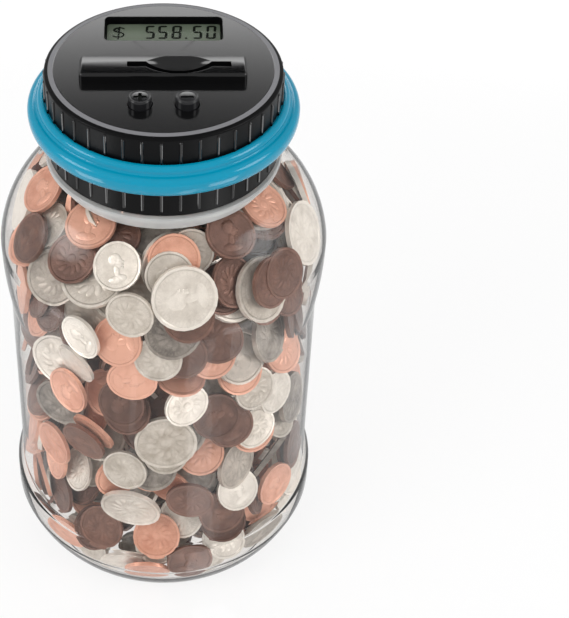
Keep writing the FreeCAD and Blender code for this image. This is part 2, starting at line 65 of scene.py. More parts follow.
# ------------------------------------------------------------------ helpers
def mm(value: float) -> float:
    """Return millimetres as metres."""
    return value * 0.001


def node_box(node: str) -> tuple[Vector, Vector]:
    """Return a frame node's lowest and highest corners in millimetres.

    Args:
        node: The frame node's name.

    Returns:
        The two corners.
    """
    low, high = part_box(node)
    return Vector(low) * 1000.0, Vector(high) * 1000.0


def linear(code: str, alpha: float = 1.0) -> tuple[float, float, float, float]:
    """Turn an sRGB hex colour into linear light.

    Args:
        code: Six hex digits.
        alpha: The fourth value of the result.

    Returns:
        Linear red, green and blue, and alpha.
    """
    out = []
    for k in (0, 2, 4):
        c = int(code[k:k + 2], 16) / 255.0
        out.append(c / 12.92 if c <= 0.04045 else ((c + 0.055) / 1.055) ** 2.4)
    return out[0], out[1], out[2], alpha


def add_node(tree: bpy.types.NodeTree, kind: str, values: Optional[dict] = None,
             links: Optional[dict] = None) -> bpy.types.Node:
    """Add one shader node with its settings and links.

    Args:
        tree: The node tree.
        kind: The node type, such as ShaderNodeTexNoise.
        values: Settings by attribute name, or inputs by socket name or number.
        links: Output sockets that feed inputs, by socket name or number.

    Returns:
        The new node.
    """
    node = tree.nodes.new(kind)
    for key, value in (values or {}).items():
        if isinstance(key, str) and hasattr(node, key):
            setattr(node, key, value)
        else:
            node.inputs[key].default_value = value
    for key, socket in (links or {}).items():
        tree.links.new(socket, node.inputs[key])
    return node


def calc(tree: bpy.types.NodeTree, operation: str, *values: Union[float, bpy.types.NodeSocket],
         clamp: bool = False) -> bpy.types.NodeSocket:
    """Do one sum on numbers or sockets.

    Args:
        tree: The node tree.
        operation: The sum, such as MULTIPLY.
        values: Numbers or output sockets, in order.
        clamp: Whether the result is kept between 0 and 1.

    Returns:
        The result's socket.
    """
    links = {k: v for k, v in enumerate(values) if not isinstance(v, (int, float))}
    fixed = {k: float(v) for k, v in enumerate(values) if isinstance(v, (int, float))}
    node = add_node(tree, "ShaderNodeMath", {"operation": operation, "use_clamp": clamp, **fixed}, links)
    return node.outputs["Value"]


def blend_shaders(tree: bpy.types.NodeTree, share: bpy.types.NodeSocket, first: bpy.types.NodeSocket,
                  second: bpy.types.NodeSocket) -> bpy.types.NodeSocket:
    """Mix two shaders.

    Args:
        tree: The node tree.
        share: How much of the second shader there is.
        first: The first shader.
        second: The second shader.

    Returns:
        The mixed shader's socket.
    """
    return add_node(tree, "ShaderNodeMixShader", links={0: share, 1: first, 2: second}).outputs["Shader"]


def new_material(name: str, bare: bool = False) -> tuple[bpy.types.Material, bpy.types.NodeTree]:
    """Start a material made of nodes.

    Args:
        name: Its name.
        bare: Whether the stock shader is taken out.

    Returns:
        The material and its node tree.
    """
    material = bpy.data.materials.new(name)
    material.use_nodes = True
    tree = material.node_tree
    if bare:
        tree.nodes.remove(tree.nodes["Principled BSDF"])
    return material, tree


def deselect() -> None:
    """Leave edit mode and deselect everything."""
    if bpy.context.object and bpy.context.object.mode != "OBJECT":
        bpy.ops.object.mode_set(mode="OBJECT")
    bpy.ops.object.select_all(action="DESELECT")


def make_active(piece: bpy.types.Object) -> None:
    """Select one piece and make it the active one.

    Args:
        piece: The piece.
    """
    deselect()
    piece.select_set(True)
    bpy.context.view_layer.objects.active = piece


def rename(name: str) -> bpy.types.Object:
    """Name the object that was just added, and put its place into its mesh.

    Args:
        name: The new piece's name.

    Returns:
        The piece.
    """
    piece = bpy.context.object
    piece.name = name
    piece.data.name = name
    bpy.ops.object.transform_apply(location=True, rotation=True, scale=True)
    return piece


def pick(piece: bpy.types.Object, mode: str, test: Callable[[Vector, Vector], bool]) -> int:
    """Select faces or edges of a piece by their place.

    Args:
        piece: The mesh object, in object mode.
        mode: "FACE" tests centre and normal, "EDGE" tests the two ends.
        test: Says whether an element is wanted, in millimetres.

    Returns:
        How many were selected. The piece is left in edit mode.
    """
    make_active(piece)
    bpy.ops.object.mode_set(mode="EDIT")
    bpy.ops.mesh.select_mode(type=mode)
    bpy.ops.mesh.select_all(action="DESELECT")
    bpy.ops.object.mode_set(mode="OBJECT")
    mesh = piece.data
    count = 0
    if mode == "FACE":
        for face in mesh.polygons:
            face.select = test(face.center * 1000.0, face.normal)
            count += face.select
    else:
        for edge in mesh.edges:
            a, b = (mesh.vertices[v].co * 1000.0 for v in edge.vertices)
            edge.select = test(a, b)
            count += edge.select
    bpy.ops.object.mode_set(mode="EDIT")
    return count


def finish_mesh(piece: bpy.types.Object, angle: float = SHARP_ANGLE) -> bpy.types.Object:
    """Merge doubles, turn normals outwards and smooth a piece below an angle.

    Args:
        piece: The mesh object.
        angle: Edges sharper than this stay sharp, in degrees.

    Returns:
        The same piece.
    """
    make_active(piece)
    bpy.ops.object.mode_set(mode="EDIT")
    bpy.ops.mesh.select_mode(type="VERT")
    bpy.ops.mesh.select_all(action="SELECT")
    bpy.ops.mesh.remove_doubles(threshold=SAME_PLACE_M)
    bpy.ops.mesh.delete_loose()
    bpy.ops.mesh.select_all(action="SELECT")
    bpy.ops.mesh.normals_make_consistent(inside=False)
    bpy.ops.object.mode_set(mode="OBJECT")
    bpy.ops.object.shade_smooth_by_angle(angle=math.radians(angle))
    return piece


def lathe(name: str, outline: Outline, steps: int = 144, closed: bool = True) -> bpy.types.Object:
    """Spin an outline round the vertical axis.

    Args:
        name: The new piece's name.
        outline: Radius and height pairs.
        steps: Segments in a full turn.
        closed: Whether the outline's end meets its start.

    Returns:
        The spun piece.
    """
    deselect()
    r0, z0 = outline[0]
    bpy.ops.mesh.primitive_plane_add(size=mm(0.5), location=(mm(r0), 0.0, mm(z0)))
    piece = bpy.context.object
    bpy.ops.object.mode_set(mode="EDIT")
    bpy.ops.mesh.select_mode(type="VERT")
    bpy.ops.mesh.select_all(action="SELECT")
    bpy.ops.mesh.merge(type="CENTER")
    last = outline[0]
    for point in outline[1:] + ([outline[0]] if closed else []):
        step = (mm(point[0] - last[0]), 0.0, mm(point[1] - last[1]))
        bpy.ops.mesh.extrude_region_move(TRANSFORM_OT_translate={"value": step})
        last = point
    bpy.ops.mesh.select_all(action="SELECT")
    bpy.ops.mesh.remove_doubles(threshold=1e-6)
    bpy.ops.mesh.select_all(action="SELECT")
    bpy.ops.mesh.spin(steps=steps, angle=math.tau, center=(0.0, 0.0, 0.0), axis=(0.0, 0.0, 1.0))
    bpy.ops.object.mode_set(mode="OBJECT")
    rename(name)
    return finish_mesh(piece)


def curve_points(a: tuple[float, float], m: tuple[float, float], b: tuple[float, float],
                 count: int) -> Outline:
    """Return points on the arc from a through m to b, without a itself.

    Args:
        a: First end.
        m: A point between the ends.
        b: Last end.
        count: How many points.

    Returns:
        The points in order.
    """
    (ax, ay), (mx, my), (bx, by) = a, m, b
    d = 2.0 * (ax * (my - by) + mx * (by - ay) + bx * (ay - my))
    sa, sm, sb = ax * ax + ay * ay, mx * mx + my * my, bx * bx + by * by
    cx = (sa * (my - by) + sm * (by - ay) + sb * (ay - my)) / d
    cy = (sa * (bx - mx) + sm * (ax - bx) + sb * (mx - ax)) / d
    radius = math.hypot(ax - cx, ay - cy)
    t0 = math.atan2(ay - cy, ax - cx)
    tm = (math.atan2(my - cy, mx - cx) - t0) % math.tau
    t1 = (math.atan2(by - cy, bx - cx) - t0) % math.tau
    if tm > t1:
        t1 -= math.tau
    angles = [t0 + t1 * k / count for k in range(1, count)]
    return [(cx + radius * math.cos(t), cy + radius * math.sin(t)) for t in angles] + [b]


def block(name: str, low: Point, high: Point, corner: float = 0.0,
          segments: int = 6) -> bpy.types.Object:
    """Add an upright block, with rounded vertical corners if asked.

    Args:
        name: The new piece's name.
        low: Lowest corner.
        high: Highest corner.
        corner: Radius of the four vertical corners.
        segments: Steps in each rounded corner.

    Returns:
        The block.
    """
    deselect()
    size = [mm(high[k] - low[k]) for k in range(3)]
    centre = [mm((high[k] + low[k]) / 2) for k in range(3)]
    bpy.ops.mesh.primitive_cube_add(size=1.0, location=centre, scale=size)
    piece = rename(name)
    if corner > 0:
        pick(piece, "EDGE", lambda a, b: abs(a.z - b.z) > 1e-3)
        bpy.ops.mesh.bevel(offset=mm(corner), segments=segments, affect="EDGES")
        bpy.ops.object.mode_set(mode="OBJECT")
    return piece


def drum(name: str, radius: float, z0: float, z1: float, x: float = 0.0, y: float = 0.0,
         sides: int = 40) -> bpy.types.Object:
    """Add an upright cylinder.

    Args:
        name: The new piece's name.
        radius: Its radius.
        z0: Height of its bottom.
        z1: Height of its top.
        x: Centre along X.
        y: Centre along Y.
        sides: Faces round it.

    Returns:
        The cylinder.
    """
    deselect()
    bpy.ops.mesh.primitive_cylinder_add(vertices=sides, radius=mm(radius), depth=mm(z1 - z0),
                                        location=(mm(x), mm(y), mm((z0 + z1) / 2)))
    return rename(name)


def carve(target: bpy.types.Object, cutter: bpy.types.Object, keep: str = "DIFFERENCE") -> None:
    """Cut one closed piece with another, which is used up.

    Args:
        target: The piece that is cut.
        cutter: The piece that cuts it.
        keep: The Boolean operation.
    """
    make_active(target)
    mod = target.modifiers.new("cut", "BOOLEAN")
    mod.object = cutter
    mod.operation = keep
    mod.solver = "EXACT"
    bpy.ops.object.modifier_apply(modifier=mod.name)
    bpy.data.objects.remove(cutter, do_unlink=True)


def join(name: str, parts: Sequence[bpy.types.Object]) -> bpy.types.Object:
    """Join meshes into one piece.

    Args:
        name: The joined piece's name.
        parts: The meshes; the first one stays.

    Returns:
        The joined piece.
    """
    deselect()
    for part in parts:
        part.select_set(True)
    bpy.context.view_layer.objects.active = parts[0]
    bpy.ops.object.join()
    parts[0].name = name
    parts[0].data.name = name
    return parts[0]


def copy_turned(piece: bpy.types.Object, degrees: float) -> bpy.types.Object:
    """Copy a piece with its own mesh, turned about the vertical axis.

    Args:
        piece: The piece to copy.
        degrees: How far the copy is turned.

    Returns:
        The copy.
    """
    twin = piece.copy()
    twin.data = piece.data.copy()
    twin.data.transform(Matrix.Rotation(math.radians(degrees), 4, "Z"))
    bpy.context.collection.objects.link(twin)
    return twin


def weigh_normals(piece: bpy.types.Object) -> None:
    """Let large faces keep their own normals, so that flat tops shade flat.

    Args:
        piece: The mesh object.
    """
    make_active(piece)
    mod = piece.modifiers.new("flat", "WEIGHTED_NORMAL")
    mod.keep_sharp = True
    mod.weight = 100
    bpy.ops.object.modifier_apply(modifier=mod.name)


def dress(piece: bpy.types.Object, material: bpy.types.Material) -> None:
    """Give a piece one material on all its faces.

    Args:
        piece: The mesh object.
        material: The material.
    """
    piece.data.materials.clear()
    piece.data.materials.append(material)
    for face in piece.data.polygons:
        face.material_index = 0


# ----------------------------------------------------------------- finishes
class Surface(Enum):
    """How a moulded part's surface was left by its tool."""

    POLISHED = 0.10
    SOFT_POLISH = 0.12
    SATIN = 0.34
    MATT = 0.60


@dataclass(frozen=True)
class MouldedPlastic:
    """Opaque injection-moulded plastic with faint flow ripple and dust-fine roughness."""

    name: str
    colour: str
    surface: Surface = Surface.POLISHED
    ripple_mm: float = 14.0
    ripple_depth: float = 0.02
    grain_mm: float = 0.5
    ior: float = 1.5
    level: float = 0.5
    coat: float = 0.0
    coat_rough: float = 0.05

    def build(self) -> bpy.types.Material:
        """Mix the colour's flow, the roughness and the ripple.

        Returns:
            The material.
        """
        material, tree = new_material(self.name)
        shader = tree.nodes["Principled BSDF"]
        place = add_node(tree, "ShaderNodeTexCoord")
        flow = add_node(tree, "ShaderNodeTexNoise", {"Scale": 1000.0 / self.ripple_mm, "Detail": 2.0},
                        {"Vector": place.outputs["Object"]})
        grain = add_node(tree, "ShaderNodeTexNoise", {"Scale": 1000.0 / self.grain_mm, "Detail": 3.0},
                         {"Vector": place.outputs["Object"]})
        rough = add_node(tree, "ShaderNodeMapRange",
                         {"To Min": self.surface.value * 0.85, "To Max": self.surface.value * 1.25},
                         {"Value": grain.outputs["Fac"]})
        dark = tuple(c * 0.9 for c in linear(self.colour)[:3]) + (1.0,)
        tone = add_node(tree, "ShaderNodeMix", {"data_type": "RGBA", 6: dark, 7: linear(self.colour)},
                        {"Factor": flow.outputs["Fac"]})
        bump = add_node(tree, "ShaderNodeBump", {"Strength": self.ripple_depth, "Distance": 0.0006},
                        {"Height": flow.outputs["Fac"]})
        tree.links.new(tone.outputs[2], shader.inputs["Base Color"])
        tree.links.new(rough.outputs["Result"], shader.inputs["Roughness"])
        tree.links.new(bump.outputs["Normal"], shader.inputs["Normal"])
        shader.inputs["IOR"].default_value = self.ior
        shader.inputs["Specular IOR Level"].default_value = self.level
        shader.inputs["Coat Weight"].default_value = self.coat
        shader.inputs["Coat Roughness"].default_value = self.coat_rough
        return material


@dataclass(frozen=True)
class ClearPlastic:
    """Clear sheet or blown plastic: sight goes through, edges and lamps mirror, and the outlines get painted
    grey shade.
    """

    name: str
    tint: str = "FCFBFA"
    mirror: float = 0.8
    rim: float = 0.45
    edge_shade_colour: str = "474B4D"
    rough: float = 0.06
    wave_mm: float = 38.0
    bend: float = 1.3
    refraction: float = 1.4
    rim_power: float = 6.0

    def see_through(self, tree: bpy.types.NodeTree) -> bpy.types.NodeSocket:
        """Bend the sight lines, and let all other light straight through.

        Args:
            tree: The material's nodes.

        Returns:
            The shader's socket.
        """
        tint = linear(self.tint)
        straight = add_node(tree, "ShaderNodeBsdfTransparent", {"Color": tint})
        bent = add_node(tree, "ShaderNodeBsdfRefraction",
                        {"Color": tint, "Roughness": 0.0, "IOR": self.refraction})
        path = add_node(tree, "ShaderNodeLightPath")
        seen = calc(tree, "MAXIMUM", path.outputs["Is Camera Ray"], path.outputs["Is Transmission Ray"])
        return blend_shaders(tree, seen, straight.outputs["BSDF"], bent.outputs["BSDF"])

    def build(self) -> bpy.types.Material:
        """Mix the clear body, its painted grey shade at the outlines and its mirror.

        Returns:
            The material.
        """
        material, tree = new_material(self.name, bare=True)
        place = add_node(tree, "ShaderNodeTexCoord")
        wave = add_node(tree, "ShaderNodeTexNoise", {"Scale": 1000.0 / self.wave_mm, "Detail": 1.0},
                        {"Vector": place.outputs["Object"]})
        bump = add_node(tree, "ShaderNodeBump", {"Strength": 0.12, "Distance": 0.002},
                        {"Height": wave.outputs["Fac"]})
        # painted shade: a grey diffuse mixed in where the surface turns away from the view darkens the
        # outlines
        edge = add_node(tree, "ShaderNodeBsdfDiffuse", {"Color": linear(self.edge_shade_colour)})
        facing = add_node(tree, "ShaderNodeLayerWeight", {"Blend": 0.5})
        steep = calc(tree, "POWER", facing.outputs["Facing"], self.rim_power)
        share = calc(tree, "MULTIPLY", steep, self.rim)
        body = blend_shaders(tree, share, self.see_through(tree), edge.outputs["BSDF"])
        gloss = add_node(tree, "ShaderNodeBsdfGlossy",
                         {"Color": (self.mirror,) * 3 + (1.0,), "Roughness": self.rough},
                         {"Normal": bump.outputs["Normal"]})
        side = add_node(tree, "ShaderNodeNewGeometry")
        bend = add_node(tree, "ShaderNodeMapRange", {"To Min": self.bend, "To Max": 1.0 / self.bend},
                        {"Value": side.outputs["Backfacing"]})
        fresnel = add_node(tree, "ShaderNodeFresnel", links={"IOR": bend.outputs["Result"],
                                                             "Normal": bump.outputs["Normal"]})
        mix = blend_shaders(tree, fresnel.outputs["Fac"], body, gloss.outputs["BSDF"])
        tree.links.new(mix, tree.nodes["Material Output"].inputs["Surface"])
        return material


@dataclass(frozen=True)
class ThickClear:
    """Solid clear plastic at the neck: paler and cloudier than the thin wall."""

    name: str
    cloud: float = 0.48
    colour: str = "F8F8F6"
    tint: str = "F6F8F8"
    flow_scale: float = 90.0
    rough: float = 0.08
    ior: float = 1.25

    def build(self) -> bpy.types.Material:
        """Mix the clear body, its cloud and its mirror.

        Returns:
            The material.
        """
        material, tree = new_material(self.name, bare=True)
        place = add_node(tree, "ShaderNodeTexCoord")
        flow = add_node(tree, "ShaderNodeTexNoise", {"Scale": self.flow_scale, "Detail": 2.0},
                        {"Vector": place.outputs["Object"]})
        share = add_node(tree, "ShaderNodeMapRange", {"To Min": self.cloud * 0.8, "To Max": self.cloud * 1.2},
                         {"Value": flow.outputs["Fac"]})
        through = add_node(tree, "ShaderNodeBsdfTransparent", {"Color": linear(self.tint)})
        cloudy = add_node(tree, "ShaderNodeBsdfDiffuse", {"Color": linear(self.colour)})
        body = blend_shaders(tree, share.outputs["Result"], through.outputs["BSDF"], cloudy.outputs["BSDF"])
        gloss = add_node(tree, "ShaderNodeBsdfGlossy", {"Roughness": self.rough})
        facing = add_node(tree, "ShaderNodeFresnel", {"IOR": self.ior})
        mix = blend_shaders(tree, facing.outputs["Fac"], body, gloss.outputs["BSDF"])
        tree.links.new(mix, tree.nodes["Material Output"].inputs["Surface"])
        return material


class Metal(Enum):
    """Common names of the metals used, each with its clean and its tarnished colour."""

    COPPER = ("F6BBA2", "B9694A")
    BROWN_COPPER = ("936E60", "4A332C")
    CUPRONICKEL = ("FAF4EB", "B0A699")
    WORN_NICKEL = ("CBC2B8", "554E48")
    STEEL = ("C4C5C6", "8B8C8E")


# a plain head in profile, in coin radii: centre and half sizes of its skull, face, nose, lips, chin, neck
# and shoulders
HEAD = (((-0.03, 0.25), (0.28, 0.28)), ((0.11, 0.13), (0.17, 0.25)), ((0.29, 0.12), (0.06, 0.07)),
        ((0.25, -0.01), (0.06, 0.05)), ((0.2, -0.1), (0.09, 0.08)), ((-0.04, -0.2), (0.14, 0.27)),
        ((-0.06, -0.52), (0.4, 0.18)))
EYE = ((0.18, 0.18), (0.05, 0.03))


@dataclass(frozen=True)
class StruckMetal:
    """Struck coin metal: raised rim, beads, a plain bust or wreath, tarnish in the hollows."""

    name: str
    metal: Metal
    rough: float = 0.36
    metallic: float = 0.35
    relief_mm: float = 0.55
    dome: float = 0.6
    beads: float = 44.0
    leaves: float = 13.0

    def blob(self, tree: bpy.types.NodeTree, uv: bpy.types.NodeSocket, centre: tuple[float, float],
             size: tuple[float, float]) -> bpy.types.NodeSocket:
        """Return a rounded oval swelling on the coin's face.

        Args:
            tree: The material's nodes.
            uv: Place on the face, in coin radii.
            centre: The oval's centre.
            size: Its half width and half height.

        Returns:
            1 at the oval's middle, falling as a dome to 0 at its edge.
        """
        where = add_node(tree, "ShaderNodeMapping",
                         {"Location": (-centre[0] / size[0], -centre[1] / size[1], 0.0),
                          "Scale": (1.0 / size[0], 1.0 / size[1], 1.0)}, {"Vector": uv})
        away = add_node(tree, "ShaderNodeVectorMath", {"operation": "DOT_PRODUCT"},
                        {0: where.outputs["Vector"], 1: where.outputs["Vector"]})
        left = calc(tree, "MAXIMUM", calc(tree, "SUBTRACT", 1.0, away.outputs["Value"]), 0.0)
        return calc(tree, "POWER", left, self.dome)

    def border(self, tree: bpy.types.NodeTree, away: bpy.types.NodeSocket,
               turn: bpy.types.NodeSocket) -> bpy.types.NodeSocket:
        """Raise the rim and the ring of beads inside it.

        Args:
            tree: The material's nodes.
            away: Distance from the coin's centre, in coin radii.
            turn: Angle round the centre, in radians.

        Returns:
            The border's height.
        """
        rim = add_node(tree, "ShaderNodeMapRange", {"From Min": 0.87, "From Max": 0.91}, {"Value": away})
        band = calc(tree, "COMPARE", away, 0.78, 0.045)
        waves = calc(tree, "SINE", calc(tree, "MULTIPLY", turn, self.beads))
        beads = calc(tree, "MULTIPLY", calc(tree, "GREATER_THAN", waves, -0.2), band)
        return calc(tree, "MAXIMUM", rim.outputs["Result"], calc(tree, "MULTIPLY", beads, 0.4))

    def bust(self, tree: bpy.types.NodeTree, uv: bpy.types.NodeSocket) -> bpy.types.NodeSocket:
        """Swell a plain head in profile from ovals that run together.

        Args:
            tree: The material's nodes.
            uv: Place on the face, in coin radii.

        Returns:
            The head's height.
        """
        head = self.blob(tree, uv, *HEAD[0])
        for oval in HEAD[1:]:
            head = calc(tree, "SMOOTH_MAX", head, self.blob(tree, uv, *oval), 0.12)
        return calc(tree, "SUBTRACT", head, calc(tree, "MULTIPLY", self.blob(tree, uv, *EYE), 0.25))

    def wreath(self, tree: bpy.types.NodeTree, uv: bpy.types.NodeSocket, away: bpy.types.NodeSocket,
               turn: bpy.types.NodeSocket) -> bpy.types.NodeSocket:
        """Raise a ring of slanting leaves round a boss.

        Args:
            tree: The material's nodes.
            uv: Place on the face, in coin radii.
            away: Distance from the coin's centre, in coin radii.
            turn: Angle round the centre, in radians.

        Returns:
            The wreath's height.
        """
        ring = calc(tree, "MULTIPLY_ADD", away, 5.6, -2.7)
        leaf = calc(tree, "MULTIPLY_ADD", ring, 0.25, calc(tree, "MULTIPLY", turn, self.leaves / math.tau))
        leaf = calc(tree, "MULTIPLY_ADD", calc(tree, "FRACT", leaf), 2.3, -1.15)
        leaf = calc(tree, "ADD", calc(tree, "MULTIPLY", leaf, leaf), calc(tree, "MULTIPLY", ring, ring))
        leaf = calc(tree, "MAXIMUM", calc(tree, "SUBTRACT", 1.0, leaf), 0.0)
        leaf = calc(tree, "POWER", leaf, self.dome)
        boss = self.blob(tree, uv, (0.0, 0.0), (0.17, 0.17))
        return calc(tree, "MULTIPLY", calc(tree, "MAXIMUM", leaf, boss), 0.5)

    def relief(self, tree: bpy.types.NodeTree, tint: bpy.types.NodeSocket) -> bpy.types.NodeSocket:
        """Raise the border and a head or a wreath, which the tint decides.

        Args:
            tree: The material's nodes.
            tint: The coin's own random number.

        Returns:
            The height of the face.
        """
        uv = add_node(tree, "ShaderNodeUVMap", {"uv_map": "face"}).outputs["UV"]
        away = add_node(tree, "ShaderNodeVectorMath", {"operation": "LENGTH"}, {0: uv}).outputs["Value"]
        axes = add_node(tree, "ShaderNodeSeparateXYZ", links={0: uv})
        turn = calc(tree, "ARCTAN2", axes.outputs["Y"], axes.outputs["X"])
        side = calc(tree, "GREATER_THAN", calc(tree, "FRACT", calc(tree, "MULTIPLY", tint, 7.0)), 0.5)
        figure = add_node(tree, "ShaderNodeMix", {"data_type": "FLOAT"},
                          {"Factor": side, 2: self.bust(tree, uv), 3: self.wreath(tree, uv, away, turn)})
        folds = add_node(tree, "ShaderNodeTexNoise", {"Scale": 9.0, "Detail": 4.0, "Distortion": 0.6},
                         {"Vector": uv}).outputs["Fac"]
        carved = calc(tree, "MULTIPLY", figure.outputs[0], calc(tree, "MULTIPLY_ADD", folds, 0.8, 0.6))
        return calc(tree, "ADD", self.border(tree, away, turn), carved)

    def tone(self, tree: bpy.types.NodeTree, height: bpy.types.NodeSocket,
             tint: bpy.types.NodeSocket) -> bpy.types.NodeSocket:
        """Tarnish the hollows more than what stands out.

        Args:
            tree: The material's nodes.
            height: The height of the face.
            tint: The coin's own random number.

        Returns:
            The colour.
        """
        place = add_node(tree, "ShaderNodeTexCoord").outputs["Object"]
        grime = add_node(tree, "ShaderNodeTexNoise", {"Scale": 190.0, "Detail": 4.0, "Roughness": 0.65},
                         {"Vector": place}).outputs["Fac"]
        worn = calc(tree, "MULTIPLY_ADD", grime, 1.3, -0.62)
        worn = calc(tree, "ADD", worn, calc(tree, "MULTIPLY", tint, 0.75))
        worn = calc(tree, "SUBTRACT", worn, calc(tree, "MULTIPLY", height, 0.22), clamp=True)
        bright, dull = self.metal.value
        tone = add_node(tree, "ShaderNodeMix", {"data_type": "RGBA", 6: linear(bright), 7: linear(dull)},
                        {"Factor": worn})
        return tone.outputs[2]

    def build(self) -> bpy.types.Material:
        """Strike the face and tarnish it, by the coins' own UV map and tint attribute.

        Returns:
            The material.
        """
        material, tree = new_material(self.name)
        shader = tree.nodes["Principled BSDF"]
        tint = add_node(tree, "ShaderNodeAttribute", {"attribute_name": "tint"}).outputs["Fac"]
        height = self.relief(tree, tint)
        bump = add_node(tree, "ShaderNodeBump", {"Strength": 0.7, "Distance": mm(self.relief_mm)},
                        {"Height": height})
        tree.links.new(self.tone(tree, height, tint), shader.inputs["Base Color"])
        tree.links.new(bump.outputs["Normal"], shader.inputs["Normal"])
        shader.inputs["Metallic"].default_value = self.metallic
        shader.inputs["Roughness"].default_value = self.rough
        return material


# ---------------------------------------------------------------- clear jar
@dataclass
class ClearJar:
    """The blown jar: one thin wall, with a screw thread round its neck."""

    wall: float = 1.6
    base_r: float = 52.0
    foot_r: float = 47.0
    push_up: float = 6.0
    body_r: float = 63.0
    panel_r: float = 60.5
    bulge_r: float = 62.9
    neck_r: float = 40.2
    bore_r: float = 37.8
    finish_r: float = 39.2
    thread_r: float = 40.55
    pitch: float = 6.0
    turns: float = 1.25
    thread_z: float = 199.5
    thread_start: float = 200.0
    lip_z: float = 212.0
    collar_low: float = 187.2
    collar_high: float = 194.0

    def body(self, inset: float) -> Outline:
        """Return the body's outline from the axis up to the neck.

        Args:
            inset: How far inside the outer skin.

        Returns:
            Radius and height pairs.
        """
        i = inset
        rows: Outline = [(0.0, self.push_up + i)]
        rows += curve_points(rows[-1], (26.0, 4.2 + i), (self.foot_r - 0.6 * i, 0.95 * i + 0.3), 8)
        rows += [(self.foot_r + 1.2 - 0.6 * i, 0.9 * i), (self.base_r - 1.2 - 0.8 * i, 0.9 * i)]
        rows += curve_points(rows[-1], (self.base_r - 0.25 - 0.8 * i, 0.35 + 0.9 * i),
                             (self.base_r + 0.6 - 0.8 * i, 1.3 + 0.8 * i), 4)
        rows += curve_points(rows[-1], (58.3 - 0.85 * i, 9.2 + 0.4 * i), (self.body_r - i, 20.6), 14)
        rows += [(self.body_r - i, 30.2), (self.body_r - 0.35 - i, 31.4)]
        rows += [(self.panel_r + 0.35 - i, 34.1), (self.panel_r - i, 35.2)]
        rows += [(self.panel_r - i, z) for z in (57.0, 80.0, 103.0, 125.0)]
        rows += curve_points(rows[-1], (62.4 - i, 139.5), (self.bulge_r - i, 153.5), 12)
        rows += curve_points(rows[-1], (59.2 - 0.95 * i, 166.6 - 0.3 * i),
                             (49.3 - 0.75 * i, 180.7 - 0.75 * i), 18)
        root = self.neck_r if i == 0 else self.bore_r
        rows += curve_points(rows[-1], (44.6 - 0.6 * i, 184.4 - 0.9 * i), (root, 186.5 - 0.9 * i), 8)
        return rows

    def inner_radius(self, z: np.ndarray) -> np.ndarray:
        """Return the inside radius at some heights, for laying the coins.

        Args:
            z: The heights.

        Returns:
            The radius at each height.
        """
        rows = [p for p in self.body(self.wall) if p[0] > 45.0 or p[1] > 100.0]
        rows = [p for p in rows if p[1] > 2.0]
        rows.append((self.bore_r, self.lip_z))
        return np.interp(z, [p[1] for p in rows], [p[0] for p in rows])

    def build(self, clear: bpy.types.Material, thick: bpy.types.Material) -> bpy.types.Object:
        """Build the shell and its thread.

        Args:
            clear: The thin wall's clear plastic.
            thick: The solid collar's clear plastic.

        Returns:
            The shell.
        """
        outer = self.body(0.0)
        collar = [(self.neck_r, 190.6), (41.2, 191.5), (43.3, 191.6), (43.95, 192.0), (43.95, 193.2),
                  (43.5, 193.6), (40.2, 193.7), (self.finish_r, 194.5), (self.finish_r, 211.3), (38.9, 211.8),
                  (38.5, self.lip_z), (38.1, self.lip_z), (self.bore_r, 211.6)]
        inner = list(reversed(self.body(self.wall)))
        shell = lathe("jar_shell", outer + collar + inner, steps=192, closed=False)
        dress(shell, clear)
        shell.data.materials.append(thick)
        for face in shell.data.polygons:
            out = math.hypot(face.center.x, face.center.y)
            if mm(self.collar_low) < face.center.z < mm(self.collar_high) and out > mm(self.neck_r - 0.4):
                face.material_index = 1
        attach(shell, "jar")
        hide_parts("jar_base", "jar_wall", "jar_shoulder", "jar_neck")
        thread = self.helix("neck_thread", self.finish_r - 0.2, self.thread_r, self.thread_z, self.turns)
        dress(thread, clear)
        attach(thread, "jar")
        return shell

    def helix(self, name: str, r0: float, r1: float, z: float, turns: float) -> bpy.types.Object:
        """Wind a ridge with sloping flanks up a cylinder.

        Args:
            name: The new piece's name.
            r0: Radius of its root.
            r1: Radius of its crest.
            z: Height where it starts.
            turns: How many turns it makes.

        Returns:
            The ridge.
        """
        deselect()
        bpy.ops.mesh.primitive_plane_add(size=1.0)
        ridge = bpy.context.object
        ridge.name = name
        corners = [(r0, z - 1.1), (r1, z - 0.45), (r1, z + 0.45), (r0, z + 1.1)]
        order = [0, 1, 3, 2]
        for vertex, k in zip(ridge.data.vertices, order):
            vertex.co = (mm(corners[k][0]), 0.0, mm(corners[k][1]))
        mod = ridge.modifiers.new("wind", "SCREW")
        mod.axis = "Z"
        mod.angle = math.tau * turns
        mod.screw_offset = mm(self.pitch * turns)
        mod.steps = mod.render_steps = int(72 * turns)
        bpy.ops.object.modifier_apply(modifier=mod.name)
        bpy.ops.object.mode_set(mode="EDIT")
        bpy.ops.mesh.select_mode(type="VERT")
        bpy.ops.mesh.select_all(action="SELECT")
        bpy.ops.mesh.fill_holes(sides=6)
        bpy.ops.object.mode_set(mode="OBJECT")
        ridge.data.transform(Matrix.Rotation(math.radians(self.thread_start), 4, "Z"))
        return finish_mesh(ridge)


# -------------------------------------------------------------------- coins
class Coin(Enum):
    """Coin sizes: radius, thickness, share of the heap."""

    CENT = (9.525, 1.52, 0.46)
    NICKEL = (10.605, 1.95, 0.17)
    DIME = (8.955, 1.35, 0.17)
    QUARTER = (12.13, 1.75, 0.20)


@dataclass
class LaidCoin:
    """One coin's place in the heap."""

    kind: Coin
    centre: np.ndarray
    normal: np.ndarray
    spin: float
    tint: float


@dataclass(frozen=True)
class Shell:
    """One pass of coins pushed outwards against the wall.

    It gives their least gap to the wall and its play, the number of tries, the spread
    of their lean in degrees, the share of thickness that must stay clear, the lowest
    and highest centres, and how far they lean back in degrees.
    """

    inset: float
    play: float
    tries: int
    spread: float
    slack: float
    low: float
    high: float
    lean_back: float


